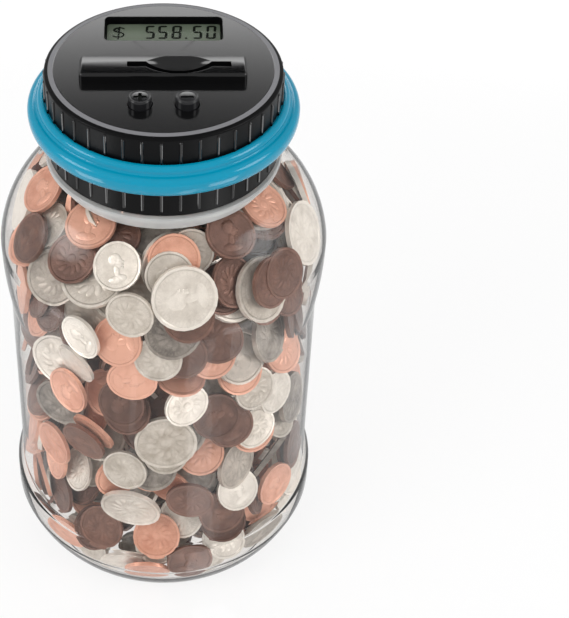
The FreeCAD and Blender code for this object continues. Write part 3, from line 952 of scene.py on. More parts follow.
@dataclass
class CoinHeap:
    """Saved coins lying against the jar's wall in leaning shells."""

    jar: ClearJar
    seed: int = 7
    top: float = 187.5
    least_reach: float = 12.0
    wild_share: float = 0.16
    wild_spread: float = 2.4
    bright_share: float = 0.42
    middle_count: int = 420
    middle_reach: float = 40.0
    shells: tuple[Shell, ...] = (
        Shell(0.2, 0.8, 2600, 8.0, 0.85, 158.0, 186.0, 3.0),
        Shell(0.2, 0.8, 5200, 12.0, 0.85, 6.0, 172.0, 13.0),
        Shell(3.0, 3.0, 1500, 15.0, 0.5, 160.0, 186.0, 8.0),
        Shell(3.0, 3.5, 2600, 20.0, 0.5, 6.0, 182.0, 14.0),
        Shell(8.0, 6.0, 1500, 26.0, 0.5, 6.0, 180.0, 14.0),
    )
    laid: list[LaidCoin] = field(default_factory=list)

    def axes(self, normal: np.ndarray) -> tuple[np.ndarray, np.ndarray]:
        """Return two directions in a coin's plane.

        Args:
            normal: The coin's normal.

        Returns:
            The two directions, square to each other.
        """
        side = np.cross(normal, (0.0, 0.0, 1.0))
        if np.linalg.norm(side) < 1e-6:
            side = np.array((1.0, 0.0, 0.0))
        side = side / np.linalg.norm(side)
        return side, np.cross(normal, side)

    def settle(self, kind: Coin, theta: float, z: float, tilt: float, lean: float,
               inset: float) -> Optional[tuple[np.ndarray, np.ndarray]]:
        """Push one coin outwards until its edge meets the wall.

        Args:
            kind: Which coin.
            theta: Direction round the jar.
            z: Height of its centre.
            tilt: Turn of its face up or down, in radians.
            lean: Turn of its face to the side, in radians.
            inset: Gap from its edge to the wall.

        Returns:
            Its centre and normal, or None if it doesn't fit.
        """
        radius, thick, _ = kind.value
        out = np.array((math.cos(theta), math.sin(theta), 0.0))
        around = np.array((-math.sin(theta), math.cos(theta), 0.0))
        normal = out * math.cos(tilt) * math.cos(lean) + around * math.sin(lean) * math.cos(tilt)
        normal = normal + np.array((0.0, 0.0, math.sin(tilt)))
        normal /= np.linalg.norm(normal)
        u, v = self.axes(normal)
        t = np.linspace(0.0, math.tau, 24, endpoint=False)
        ring = radius * (np.outer(np.cos(t), u) + np.outer(np.sin(t), v))
        ring = np.vstack((ring + normal * thick / 2, ring - normal * thick / 2))
        rho = float(self.jar.inner_radius(np.array([z]))[0]) - inset - 2.0
        for _ in range(4):
            points = ring + out * rho + np.array((0.0, 0.0, z))
            over = np.hypot(points[:, 0], points[:, 1]) - (self.jar.inner_radius(points[:, 2]) - inset)
            rho -= float(over.max())
        points = ring + out * rho + np.array((0.0, 0.0, z))
        floor = 2.4 + 6.0 * np.clip(1.0 - (np.hypot(points[:, 0], points[:, 1]) / 46.0) ** 2, 0.0, 1.0)
        if rho < self.least_reach or (points[:, 2] < floor).any() or points[:, 2].max() > self.top:
            return None
        return out * rho + np.array((0.0, 0.0, z)), normal

    def crosses(self, kind: Coin, centre: np.ndarray, normal: np.ndarray, store: np.ndarray,
                slack: float) -> bool:
        """Say whether a coin would pass through one that is already laid.

        Args:
            kind: Which coin.
            centre: Its centre.
            normal: Its normal.
            store: The laid coins' centres, normals, radii and half thicknesses.
            slack: The share of the thickness that must stay clear.

        Returns:
            True if it would.
        """
        if not len(store):
            return False
        radius, thick, _ = kind.value
        gap = store[:, :3] - centre
        near = store[np.linalg.norm(gap, axis=1) < radius + store[:, 6] + 1.0]
        if not len(near):
            return False
        for side_a in (-1.0, 0.0, 1.0):
            ca = centre + normal * side_a * thick * 0.5 * slack
            for side_b in (-1.0, 1.0):
                cb = near[:, :3] + near[:, 3:6] * (side_b * slack * near[:, 7:8])
                nb = near[:, 3:6]
                line = np.cross(np.broadcast_to(normal, nb.shape), nb)
                length = np.linalg.norm(line, axis=1)
                flat = length < 0.02
                if flat.any():
                    away = np.abs((near[:, :3] - centre) @ normal)
                    if (flat & (away < (thick / 2 + near[:, 7]) * slack)).any():
                        return True
                line = line / np.maximum(length, 1e-9)[:, None]
                into = np.cross(line, np.broadcast_to(normal, nb.shape))
                slope = np.where(flat, 1.0, np.einsum("ij,ij->i", into, nb))
                reach = np.einsum("ij,ij->i", cb - ca, nb) / slope
                foot = ca + into * reach[:, None]
                ha = np.abs(reach)
                hb = np.linalg.norm(np.cross(cb - foot, line), axis=1)
                ra = np.sqrt(np.clip(radius ** 2 - ha ** 2, 0.0, None))
                rb = np.sqrt(np.clip(near[:, 6] ** 2 - hb ** 2, 0.0, None))
                mid = np.einsum("ij,ij->i", cb - foot, line)
                hit = (ha < radius) & (hb < near[:, 6]) & (np.abs(mid) < ra + rb - 0.6) & ~flat
                if hit.any():
                    return True
        return False

    def lay(self) -> None:
        """Lay all the coins, outermost shell first."""
        rng = random.Random(self.seed)
        kinds = list(Coin)
        weights = [k.value[2] for k in kinds]
        store = np.zeros((0, 8))
        for shell in self.shells:
            for _ in range(shell.tries):
                kind = rng.choices(kinds, weights)[0]
                wild = self.wild_spread if rng.random() < self.wild_share else 1.0
                z = rng.uniform(shell.low, shell.high)
                low, high = self.jar.inner_radius(np.array([z - 4.0, z + 4.0]))
                slope = math.degrees(math.atan2(float(low - high), 8.0)) + shell.lean_back
                tilt = math.radians(max(-75.0, min(75.0, rng.gauss(slope, shell.spread * wild))))
                lean = math.radians(max(-70.0, min(70.0, rng.gauss(0.0, shell.spread * wild * 0.8))))
                spot = self.settle(kind, rng.uniform(0.0, math.tau), z, tilt, lean,
                                   shell.inset + rng.uniform(0.0, shell.play))
                if spot is None:
                    continue
                centre, normal = spot
                if self.crosses(kind, centre, normal, store, shell.slack):
                    continue
                row = np.concatenate((centre, normal, (kind.value[0], kind.value[1] / 2)))
                store = np.vstack((store, row))
                spin, tint = rng.uniform(0.0, math.tau), rng.random()
                self.laid.append(LaidCoin(kind, centre, normal, spin, tint))
        self.fill_middle(rng)

    def fill_middle(self, rng: random.Random) -> None:
        """Strew coins in the heap's middle, where only gaps between others show them.

        Args:
            rng: The heap's own random numbers.
        """
        kinds = list(Coin)
        weights = [k.value[2] for k in kinds]
        for _ in range(self.middle_count):
            kind = rng.choices(kinds, weights)[0]
            rho = math.sqrt(rng.random()) * self.middle_reach
            theta = rng.uniform(0.0, math.tau)
            z = rng.uniform(14.0, self.top - 9.0)
            if z > 165.0:
                rho *= 0.8
            tilt = rng.uniform(-1.3, 1.3)
            flat = math.cos(tilt)
            normal = np.array((math.cos(theta) * flat, math.sin(theta) * flat, math.sin(tilt)))
            centre = np.array((rho * math.cos(theta + 1.0), rho * math.sin(theta + 1.0), z))
            spin, tint = rng.uniform(0.0, math.tau), rng.random()
            self.laid.append(LaidCoin(kind, centre, normal, spin, tint))

    def blank(self, kind: Coin) -> bpy.types.Object:
        """Strike one coin: a low drum with a raised rim and a sunken field.

        Args:
            kind: Which coin.

        Returns:
            The coin, lying at the origin.
        """
        radius, thick, _ = kind.value
        coin = drum("blank", radius, -thick / 2, thick / 2, sides=24)
        pick(coin, "FACE", lambda c, n: abs(n.z) > 0.9)
        bpy.ops.mesh.inset(thickness=mm(radius * 0.10), depth=0.0, use_individual=True)
        bpy.ops.transform.resize(value=(1.0, 1.0, 0.80))
        bpy.ops.object.mode_set(mode="OBJECT")
        return coin

    def sort_out(self) -> dict[str, list[LaidCoin]]:
        """Sort the laid coins by kind, and the cents by their colour too.

        Returns:
            The coins by group name.
        """
        groups: dict[str, list[LaidCoin]] = {}
        for coin in self.laid:
            if coin.kind is Coin.CENT:
                key = "cent_bright" if coin.tint < self.bright_share else "cent_brown"
            else:
                key = coin.kind.name.lower()
            groups.setdefault(key, []).append(coin)
        return groups

    def copy_out(self, name: str, coins: Sequence[LaidCoin]) -> bpy.types.Object:
        """Copy one struck coin to all the places of its group.

        Args:
            name: The new piece's name.
            coins: The group, all of one kind.

        Returns:
            One piece with its UV map and tint attribute.
        """
        template = self.blank(coins[0].kind)
        base = np.array([v.co for v in template.data.vertices])
        faces = [tuple(p.vertices) for p in template.data.polygons]
        radius = mm(coins[0].kind.value[0])
        rows, polys, tints, uvs = [], [], [], []
        for number, coin in enumerate(coins):
            u, v = self.axes(coin.normal)
            c, s = math.cos(coin.spin), math.sin(coin.spin)
            turn = np.stack((u * c + v * s, v * c - u * s, coin.normal), axis=1)
            rows.append(base @ turn.T + coin.centre * 0.001)
            offset = number * len(base)
            polys += [tuple(i + offset for i in face) for face in faces]
            tints += [coin.tint] * len(faces)
            uvs += [base[i][k] / radius for face in faces for i in face for k in (0, 1)]
        mesh = bpy.data.meshes.new(name)
        mesh.from_pydata(np.vstack(rows).tolist(), [], polys)
        mesh.attributes.new("tint", "FLOAT", "FACE").data.foreach_set("value", tints)
        mesh.uv_layers.new(name="face").data.foreach_set("uv", uvs)
        piece = bpy.data.objects.new(name, mesh)
        bpy.context.collection.objects.link(piece)
        bpy.data.objects.remove(template, do_unlink=True)
        return piece

    def build(self, finishes: dict[str, bpy.types.Material]) -> list[bpy.types.Object]:
        """Make one piece for each kind and colour of coin.

        Args:
            finishes: Coin metals by name.

        Returns:
            The pieces.
        """
        self.lay()
        pieces = []
        for key, coins in sorted(self.sort_out().items()):
            piece = self.copy_out("coins_" + key, coins)
            make_active(piece)
            bpy.ops.object.shade_smooth_by_angle(angle=math.radians(SHARP_ANGLE))
            dress(piece, finishes[key])
            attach(piece, "jar")
            pieces.append(piece)
            LOG.info("%s: %d coins", piece.name, len(coins))
        return pieces


# ---------------------------------------------------------------- screw lid
@dataclass
class ScrewLid:
    """Two ribbed black mouldings with a double-rolled blue ring between them."""

    top_z: float = 228.5
    skirt_r: float = 43.0
    skirt_z: float = 217.3
    band_r: float = 42.7
    band_z: float = 194.2
    band_top: float = 208.5
    ribs: int = 40
    phase: float = -1.0
    ring_top: float = 217.9
    ring_low: float = 208.1
    ring_r: float = 49.6
    bar_rise: float = 3.55
    bar_crown: float = 0.25
    notch_x: float = 5.4
    frame_inset: float = 1.0
    key_hole_r: float = 4.5
    top_r: float = 39.7
    bevel_r: float = 41.4

    def rib_row(self, radius: float, z0: float, z1: float) -> list[bpy.types.Object]:
        """Model one round-nosed grip rib and copy it round a skirt.

        Args:
            radius: The skirt's radius.
            z0: Height of the rib's foot.
            z1: Height of its rounded top.

        Returns:
            All the ribs.
        """
        rib = drum("rib", 0.66, z0, z1 - 0.66, radius - 0.14, 0.0, sides=14)
        pick(rib, "FACE", lambda c, n: n.z > 0.9)
        for grow, shrink in ((0.36, 0.86), (0.2, 0.62), (0.1, 0.25)):
            bpy.ops.mesh.extrude_region_move(TRANSFORM_OT_translate={"value": (0.0, 0.0, mm(grow))})
            bpy.ops.transform.resize(value=(shrink, shrink, 1.0))
        bpy.ops.object.mode_set(mode="OBJECT")
        row = [copy_turned(rib, self.phase + k * 360.0 / self.ribs) for k in range(self.ribs)]
        bpy.data.objects.remove(rib, do_unlink=True)
        return row

    def build_ring(self, blue: bpy.types.Material) -> bpy.types.Object:
        """Turn the blue ring: a thin lip, a bead, a groove and a broad roll.

        Args:
            blue: Its finish.

        Returns:
            The ring.
        """
        t, r = self.ring_top, self.ring_r
        rows: Outline = [(43.65, t - 0.15), (43.8, t), (44.3, t)]
        rows += curve_points(rows[-1], (45.5, t - 0.7), (46.0, t - 2.3), 8)
        rows += curve_points(rows[-1], (46.35, t - 2.85), (46.95, t - 3.0), 6)
        rows += curve_points(rows[-1], (48.9, t - 3.9), (r, t - 5.9), 12)
        rows += curve_points(rows[-1], (r - 0.2, t - 8.0), (48.9, self.ring_low + 0.5), 8)
        rows += [(48.6, self.ring_low + 0.12), (48.1, self.ring_low), (47.0, self.ring_low)]
        rows += [(46.9, self.ring_low + 0.1), (46.9, 212.6), (45.0, 212.6), (45.0, self.ring_low)]
        rows += [(43.4, self.ring_low), (43.35, 208.5), (42.4, 208.5), (42.4, 217.3), (43.65, 217.3)]
        ring = lathe("blue_ring", rows, steps=192)
        dress(ring, blue)
        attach(ring, "lid")
        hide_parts("trim_ring")
        return ring

    def polish_ribs(self, piece: bpy.types.Object, radius: float, polish: bpy.types.Material) -> None:
        """Give the ribs that stand out from a skirt their own finish.

        Args:
            piece: The moulding with its ribs.
            radius: The skirt's radius.
            polish: The ribs' finish.
        """
        piece.data.materials.append(polish)
        for face in piece.data.polygons:
            c = face.center
            if math.hypot(c.x, c.y) > mm(radius + 0.03) and len(face.vertices) < 30:
                face.material_index = len(piece.data.materials) - 1

    def build_base(self, black: bpy.types.Material, polish: bpy.types.Material) -> bpy.types.Object:
        """Build the lower skirt with its floor and the battery bay under it.

        Args:
            black: Its finish.
            polish: The finish of its ribs.

        Returns:
            The lid's lower moulding.
        """
        b, t = self.band_z, self.band_top
        rows: Outline = [(40.9, b + 0.3), (41.2, b), (self.band_r - 0.35, b), (self.band_r, b + 0.35)]
        rows += [(self.band_r, b + 7.0), (self.band_r, t), (42.35, t), (42.35, self.skirt_z)]
        rows += [(41.3, self.skirt_z), (41.3, 219.0), (39.9, 219.0), (39.9, 215.5)]
        rows += [(0.0, 215.5), (0.0, 213.5), (40.9, 213.5)]
        base = lathe("lid_lower", rows, steps=160)
        low, high = node_box("chute_front")
        rear = node_box("chute_rear")[0]
        mouth = block("mouth", (low.x - 0.25, rear.y - 1.5 - 1.55 - 0.25, 210.0),
                      (high.x + 0.25, -0.6, 218.0))
        carve(base, mouth)
        bay_low, bay_high = node_box("battery_door")
        x, y0, y1 = 26.05, 0.3, 24.5
        walls = block("bay", (-x, y0, bay_low.z), (x, y1, 213.6), 0.8)
        walls_in = block("bay_inside", (-x + 1.2, y0 + 1.2, bay_low.z - 1.0), (x - 1.2, y1 - 1.2, 213.5))
        carve(walls, walls_in)
        rebate = block("rebate", (-x + 0.6, y0 + 0.6, bay_low.z - 1.0), (x - 0.6, y1 - 0.6, bay_high.z))
        carve(walls, rebate)
        notch = block("notch", (-3.2, y1 - 2.0, bay_low.z - 1.0), (3.2, y1 + 1.0, bay_high.z))
        carve(walls, notch)
        boss = drum("boss", 2.9, bay_high.z, 213.6, 0.0, bay_high.y - 2.9)
        finish_mesh(walls)
        base = join("lid_lower", [base, walls, boss] + self.rib_row(self.band_r, b + 2.4, t + 0.3))
        dress(base, black)
        self.polish_ribs(base, self.band_r, polish)
        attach(base, "lid")
        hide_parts("lid_base")
        return base

    def slot_bar(self) -> bpy.types.Object:
        """Raise the bar round the slot: crowned top, rounded ends and edges.

        Returns:
            The bar.
        """
        z = self.top_z
        bar = block("bar", (-30.0, -10.2, z - 0.5), (29.6, 2.0, z + self.bar_rise), 1.7, 8)
        pick(bar, "FACE", lambda c, n: n.z > 0.9)
        bpy.ops.mesh.region_to_loop()
        bpy.ops.mesh.bevel(offset=mm(1.1), segments=6, affect="EDGES")
        bpy.ops.object.mode_set(mode="OBJECT")
        make_active(bar)
        bpy.ops.object.mode_set(mode="EDIT")
        for y in (-8.0, -6.0, -4.0, -2.0, 0.0):
            bpy.ops.mesh.select_all(action="SELECT")
            bpy.ops.mesh.bisect(plane_co=(0.0, mm(y), mm(z + 3.0)), plane_no=(0.0, 1.0, 0.0))
        bpy.ops.object.mode_set(mode="OBJECT")
        for vertex in bar.data.vertices:
            if vertex.co.z > mm(z + 2.0):
                y = vertex.co.y * 1000.0
                vertex.co.z += mm(self.bar_crown * max(0.0, 1.0 - ((y + 4.1) / 6.1) ** 2))
        return bar

    def thumb_notch(self) -> bpy.types.Object:
        """Turn the spindle that scoops the thumb notch across the slot.

        Returns:
            The spindle.
        """
        rows: Outline = [(0.0, -14.2)] + curve_points((0.0, -14.2), (5.8, 0.0), (0.0, 14.2), 28)
        spindle = lathe("spindle", rows, steps=64, closed=False)
        spindle.data.transform(Matrix.Rotation(math.radians(90.0), 4, "Y"))
        spindle.data.transform(Matrix.Translation((mm(self.notch_x), mm(-3.9), mm(self.top_z + 5.2))))
        return spindle

    def build_cover(self, black: bpy.types.Material, rim: bpy.types.Material,
                    mirror: bpy.types.Material, polish: bpy.types.Material) -> bpy.types.Object:
        """Build the upper moulding with its bar, slot, notch and openings.

        Args:
            black: The skirt's finish.
            rim: The finish of the narrow bevel round the top, painted pale grey as a painted highlight.
            mirror: The polished top's finish.
            polish: The ribs' finish.

        Returns:
            The lid's upper moulding.
        """
        z, r = self.top_z, self.skirt_r
        rows: Outline = [(41.4, self.skirt_z), (r, self.skirt_z), (r, z - 1.5), (r - 0.12, z - 1.05)]
        rows += [(r - 0.4, z - 0.7), (41.5, z - 0.22), (39.7, z - 0.02), (39.5, z)]
        rows += [(k, z) for k in (36.0, 30.0, 20.0, 10.0, 0.0)] + [(0.0, z - 2.2), (41.4, z - 2.2)]
        cover = lathe("lid_upper", rows, steps=160)
        carve(cover, self.slot_bar(), "UNION")
        self.cut_openings(cover)
        self.soften_notch(cover)
        finish_mesh(cover, 28.0)
        cover = join("lid_upper", [cover, self.display_lip()] + self.rib_row(r, self.skirt_z, z - 1.9))
        for face in cover.data.polygons:
            if face.normal.z > 0.9999 and abs(face.center.z - mm(z)) < 1e-5:
                face.use_smooth = False
        weigh_normals(cover)
        dress(cover, black)
        # the bevel round the top gets a pale grey: a painted highlight
        cover.data.materials.append(rim)
        cover.data.materials.append(mirror)
        for face in cover.data.polygons:
            face.material_index = self.top_finish(face)
        self.polish_ribs(cover, r, polish)
        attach(cover, "lid")
        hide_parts("top_cover", "slot_bar")
        return cover

    def cut_openings(self, cover: bpy.types.Object) -> None:
        """Cut the notch, the slot, the display opening and the key holes.

        Args:
            cover: The upper moulding with its bar.
        """
        z, inset = self.top_z, self.frame_inset
        carve(cover, self.thumb_notch())
        carve(cover, block("slot", (-13.0, -5.45, z - 4.0), (24.0, -2.35, z + 6.0)))
        low, high = node_box("lcd_window")
        carve(cover, block("opening", (low.x + inset, low.y + inset, z - 4.0),
                           (high.x - inset, high.y - inset, z + 2.0), 2.0, 8))
        for name in ("plus_button", "minus_button"):
            low, high = node_box(name)
            x, y = (low.x + high.x) / 2, (low.y + high.y) / 2
            carve(cover, drum("hole", self.key_hole_r, z - 4.0, z + 2.0, x, y, 48))
        pick(cover, "EDGE", self.on_rim)
        bpy.ops.mesh.bevel(offset=mm(0.22), segments=2, affect="EDGES")
        bpy.ops.object.mode_set(mode="OBJECT")

    def display_lip(self) -> bpy.types.Object:
        """Build the wall that goes down from the display opening to the window.

        Returns:
            The wall.
        """
        z, inset = self.top_z, self.frame_inset
        low, high = node_box("lcd_window")
        frame_low = node_box("lcd_frame")[0].z
        lip = block("lip", (low.x, low.y, high.z), (high.x, high.y, z - 2.0), 2.8, 6)
        carve(lip, block("lip_in", (low.x + inset, low.y + inset, frame_low),
                         (high.x - inset, high.y - inset, z + 1.0), 2.0, 6))
        return finish_mesh(lip, 28.0)

    def top_finish(self, face: bpy.types.MeshPolygon) -> int:
        """Say which finish a face of the cover gets.

        Args:
            face: The face.

        Returns:
            1 for the bevel round the top, which is painted pale as a highlight, 2 for the polished top, 0 for
            the rest.
        """
        centre = face.center * 1000.0
        out, rise = math.hypot(centre.x, centre.y), centre.z - self.top_z
        if self.top_r - 0.1 < out < self.bevel_r and -0.4 < rise < 0.01 and face.normal.z > 0.5:
            return 1
        return 2 if out < self.top_r and rise > -0.3 else 0

    def soften_notch(self, cover: bpy.types.Object) -> None:
        """Round the front edge of the notch where it leaves the bar's top.

        Args:
            cover: The upper moulding with its openings.
        """
        make_active(cover)
        mesh = cover.data
        sides: dict[tuple[int, int], list[float]] = {}
        for face in mesh.polygons:
            for key in face.edge_keys:
                sides.setdefault(key, []).append(face.normal.z)
        for group in (mesh.polygons, mesh.edges, mesh.vertices):
            group.foreach_set("select", [False] * len(group))
        for edge in mesh.edges:
            a, b = (mesh.vertices[k].co * 1000.0 for k in edge.vertices)
            heights = sides.get(tuple(sorted(edge.vertices)), [0.0])
            front = all(p.z > self.top_z + 3.0 and -9.9 < p.y < -5.5 and abs(p.x - self.notch_x) < 12.0
                        for p in (a, b))
            edge.select = front and max(heights) > 0.93 and min(heights) < 0.88
        bpy.ops.object.mode_set(mode="EDIT")
        bpy.ops.mesh.select_mode(type="EDGE")
        bpy.ops.mesh.bevel(offset=mm(0.32), segments=3, affect="EDGES")
        bpy.ops.object.mode_set(mode="OBJECT")

    def on_rim(self, a: Vector, b: Vector) -> bool:
        """Say whether an edge borders the display opening on the lid's top.

        Args:
            a: One end.
            b: The other end.

        Returns:
            True if it does.
        """
        if abs(a.z - self.top_z) > 0.01 or abs(b.z - self.top_z) > 0.01:
            return False
        low, high = node_box("lcd_window")
        inset = self.frame_inset
        x, y0, y1 = high.x - inset, low.y + inset, high.y - inset

        def near(p: Vector) -> bool:
            """Say whether a point lies on the opening's outline.

            Args:
                p: The point.

            Returns:
                True if it does.
            """
            inside = abs(p.x) < x + 0.05 and y0 - 0.05 < p.y < y1 + 0.05
            deep = abs(p.x) < x - 2.05 and y0 + 0.05 < p.y < y1 - 0.05
            return inside and not deep
        return near(a) and near(b)


# ------------------------------------------------------------------ display
@dataclass
class Display:
    """Liquid-crystal digits: dark segments on a grey-green ground."""

    digits: str = "558.50"
    tall: float = 8.7
    wide: float = 3.9
    stroke: float = 1.0
    ground_z: float = 225.3
    slant: float = 0.06
    centres: tuple[float, ...] = (-4.95, -0.3, 4.85, 12.55, 17.6)
    middle_y: float = 26.6
    point_x: tuple[float, float] = (8.1, 9.0)
    mark_x: float = -19.5
    mark_tall: float = 10.6
    ink: float = 0.05
    sight_half: float = 20.9

    def segment(self, x: float, y: float, length: float, upright: bool, z: float) -> bpy.types.Object:
        """Cut one segment with pointed ends.

        Args:
            x: Its centre along X.
            y: Its centre along Y.
            length: Its full length.
            upright: Whether it runs along Y.
            z: Height of the ground it lies on.

        Returns:
            The segment.
        """
        half, w = length / 2 - self.stroke / 2, self.stroke / 2
        size = (w, half) if upright else (half, w)
        bar = block("segment", (x - size[0], y - size[1], z), (x + size[0], y + size[1], z + self.ink))
        for sign in (-1.0, 1.0):
            axis = 1 if upright else 0
            pick(bar, "FACE", lambda c, n: n[axis] * sign > 0.9)
            move = [0.0, 0.0, 0.0]
            move[axis] = mm(w * sign)
            bpy.ops.mesh.extrude_region_move(TRANSFORM_OT_translate={"value": move})
            squeeze = (0.05, 1.0, 1.0) if upright else (1.0, 0.05, 1.0)
            bpy.ops.transform.resize(value=squeeze)
            bpy.ops.object.mode_set(mode="OBJECT")
        return bar

    def build(self, ink: bpy.types.Material) -> bpy.types.Object:
        """Lay out the amount shown.

        Args:
            ink: The switched segments' finish.

        Returns:
            All segments as one piece.
        """
        z = self.ground_z
        lit = {"0": "abcdef", "5": "acdfg", "8": "abcdefg"}
        h, w, g = self.tall / 2, self.wide, self.stroke * 0.62
        parts: list[bpy.types.Object] = []
        spots = iter(self.centres)
        for sign in self.digits:
            if sign == ".":
                left, right = self.point_x
                y = self.middle_y - h
                parts.append(block("point", (left, y, z), (right, y + 0.95, z + self.ink)))
                continue
            x = next(spots)
            across, up = w - self.stroke, self.tall / 2
            places = {"a": (0, h - self.stroke / 2, across, False), "g": (0, 0, across, False),
                      "d": (0, -h + self.stroke / 2, across, False),
                      "b": (w / 2 - g, h / 2, up - 0.5, True), "c": (w / 2 - g, -h / 2, up - 0.5, True),
                      "f": (-w / 2 + g, h / 2, up - 0.5, True), "e": (-w / 2 + g, -h / 2, up - 0.5, True)}
            for key in lit[sign]:
                dx, dy, length, upright = places[key]
                parts.append(self.segment(x + dx, self.middle_y + dy, length, upright, z))
        deselect()
        bpy.ops.object.text_add(location=(mm(self.mark_x), mm(self.middle_y - 3.5), mm(z)))
        mark = bpy.context.object
        mark.data.body = "$"
        mark.data.size = mm(self.mark_tall)
        mark.data.extrude = mm(0.03)
        mark.data.offset = -mm(0.12)
        bpy.ops.object.convert(target="MESH")
        mark = rename("currency_mark")
        piece = join("display_digits", parts + [mark])
        piece.data.transform(Matrix.Translation((-mm(self.slant * self.middle_y), 0.0, 0.0))
                             @ Matrix(((1, self.slant, 0, 0), (0, 1, 0, 0), (0, 0, 1, 0), (0, 0, 0, 1))))
        finish_mesh(piece)
        dress(piece, ink)
        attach(piece, "lid")
        return piece

    def build_ground(self, glass: bpy.types.Material) -> bpy.types.Object:
        """Lay the display cell, whose picture lies close under the window.

        Args:
            glass: Its finish.

        Returns:
            The cell.
        """
        low, high = node_box("lcd_glass")
        cell = block("display_cell", (low.x, low.y, low.z), (high.x, high.y, self.ground_z - 0.01), 1.2, 4)
        finish_mesh(cell)
        dress(cell, glass)
        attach(cell, "lid")
        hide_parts("lcd_glass")
        return cell

    def build_mask(self, black: bpy.types.Material) -> bpy.types.Object:
        """Lay the black border that frames the digits.

        Args:
            black: Its finish.

        Returns:
            The border.
        """
        low, high = node_box("lcd_window")
        z = self.ground_z
        mask = block("display_mask", (low.x, low.y, z + 0.06), (high.x, high.y, z + 0.12), 2.4, 6)
        side = (high.x - low.x) / 2 - self.sight_half
        carve(mask, block("sight", (low.x + side, low.y + 1.6, z - 1.0),
                          (high.x - side, high.y - 1.3, high.z), 1.2, 5))
        finish_mesh(mask)
        dress(mask, black)
        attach(mask, "lid")
        return mask

    def build_window(self, clear: bpy.types.Material) -> bpy.types.Object:
        """Set the thin clear window over the display.

        Args:
            clear: Its clear plastic.

        Returns:
            The window.
        """
        low, high = node_box("lcd_window")
        pane = block("display_window", (low.x, low.y, self.ground_z + 0.14), (high.x, high.y, high.z), 2.4, 6)
        finish_mesh(pane)
        dress(pane, clear)
        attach(pane, "lid")
        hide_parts("lcd_window")
        return pane


# --------------------------------------------------------------------- keys
@dataclass
class Key:
    """A round push button with its sign sunk into the top."""

    node: str
    body: str
    upright_bar: bool
    stroke: float = 1.2
    arm: float = 2.3
    sunk: float = 0.75

    def build(self, black: bpy.types.Material, dull: bpy.types.Material) -> bpy.types.Object:
        """Build the key.

        Args:
            black: Its finish.
            dull: The darker finish inside its sign, painted shade in the recess.

        Returns:
            The key.
        """
        low, high = node_box(self.node)
        x, y, top = (low.x + high.x) / 2, (low.y + high.y) / 2, high.z
        rows: Outline = [(0.0, low.z), (2.0, low.z), (2.0, 225.1), (5.3, 225.1), (5.3, 226.3), (4.2, 226.3)]
        rows += [(4.2, top - 0.75), (4.12, top - 0.4), (3.9, top - 0.12), (3.6, top)]
        rows += [(3.3, top - 0.03), (3.1, top - 0.16), (2.0, top - 0.12), (0.0, top - 0.1)]
        key = lathe(self.node + "_cap", rows, steps=64, closed=False)
        key.data.transform(Matrix.Translation((mm(x), mm(y), 0.0)))
        w = self.stroke / 2
        arms = [(self.arm, w), (w, self.arm)] if self.upright_bar else [(self.arm, w)]
        for dx, dy in arms:
            carve(key, block("sign", (x - dx, y - dy, top - self.sunk), (x + dx, y + dy, top + 1.0), 0.15, 3))
        finish_mesh(key, 30.0)
        weigh_normals(key)
        dress(key, black)
        # the sunk sign's floor and walls get the darker ink: painted shade in the recess
        key.data.materials.append(dull)
        for face in key.data.polygons:
            out = max(abs(face.center.x * 1000.0 - x), abs(face.center.y * 1000.0 - y))
            if mm(top - 0.8) < face.center.z < mm(top - 0.2) and out < self.arm + 0.1:
                face.material_index = 1
        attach(key, self.body)
        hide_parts(self.node)
        return key


# -------------------------------------------------------------- inner works
@dataclass(frozen=True)
class DisplayGlass:
    """Liquid-crystal cell: a grey-green ground under clear polariser film."""

    name: str = "lcd_polariser_grey_green"
    middle: str = "7B8474"
    edge: str = "717A6B"

    def build(self) -> bpy.types.Material:
        """Cloud the ground very faintly.

        Returns:
            The material.
        """
        material, tree = new_material(self.name)
        shader = tree.nodes["Principled BSDF"]
        place = add_node(tree, "ShaderNodeTexCoord")
        cloud = add_node(tree, "ShaderNodeTexNoise", {"Scale": 60.0, "Detail": 1.0},
                         {"Vector": place.outputs["Object"]})
        tone = add_node(tree, "ShaderNodeMix",
                        {"data_type": "RGBA", 6: linear(self.edge), 7: linear(self.middle)},
                        {"Factor": cloud.outputs["Fac"]})
        tree.links.new(tone.outputs[2], shader.inputs["Base Color"])
        shader.inputs["Roughness"].default_value = 0.35
        shader.inputs["Specular IOR Level"].default_value = 0.3
        return material


@dataclass(frozen=True)
class PlainMetal:
    """Plated or drawn metal with fine brushed streaks."""

    name: str
    metal: Metal = Metal.STEEL
    rough: float = 0.3
    streak_mm: float = 0.6

    def build(self) -> bpy.types.Material:
        """Streak the colour and the roughness one way.

        Returns:
            The material.
        """
        material, tree = new_material(self.name)
        shader = tree.nodes["Principled BSDF"]
        place = add_node(tree, "ShaderNodeTexCoord")
        stretch = add_node(tree, "ShaderNodeMapping", {"Scale": (1.0, 6.0, 1.0)},
                           {"Vector": place.outputs["Object"]})
        grain = add_node(tree, "ShaderNodeTexNoise", {"Scale": 1000.0 / self.streak_mm, "Detail": 2.0},
                         {"Vector": stretch.outputs["Vector"]})
        bright, dull = self.metal.value
        tone = add_node(tree, "ShaderNodeMix", {"data_type": "RGBA", 6: linear(dull), 7: linear(bright)},
                        {"Factor": grain.outputs["Fac"]})
        rough = add_node(tree, "ShaderNodeMapRange", {"To Min": self.rough * 0.7, "To Max": self.rough * 1.3},
                         {"Value": grain.outputs["Fac"]})
        tree.links.new(tone.outputs[2], shader.inputs["Base Color"])
        tree.links.new(rough.outputs["Result"], shader.inputs["Roughness"])
        shader.inputs["Metallic"].default_value = 1.0
        return material


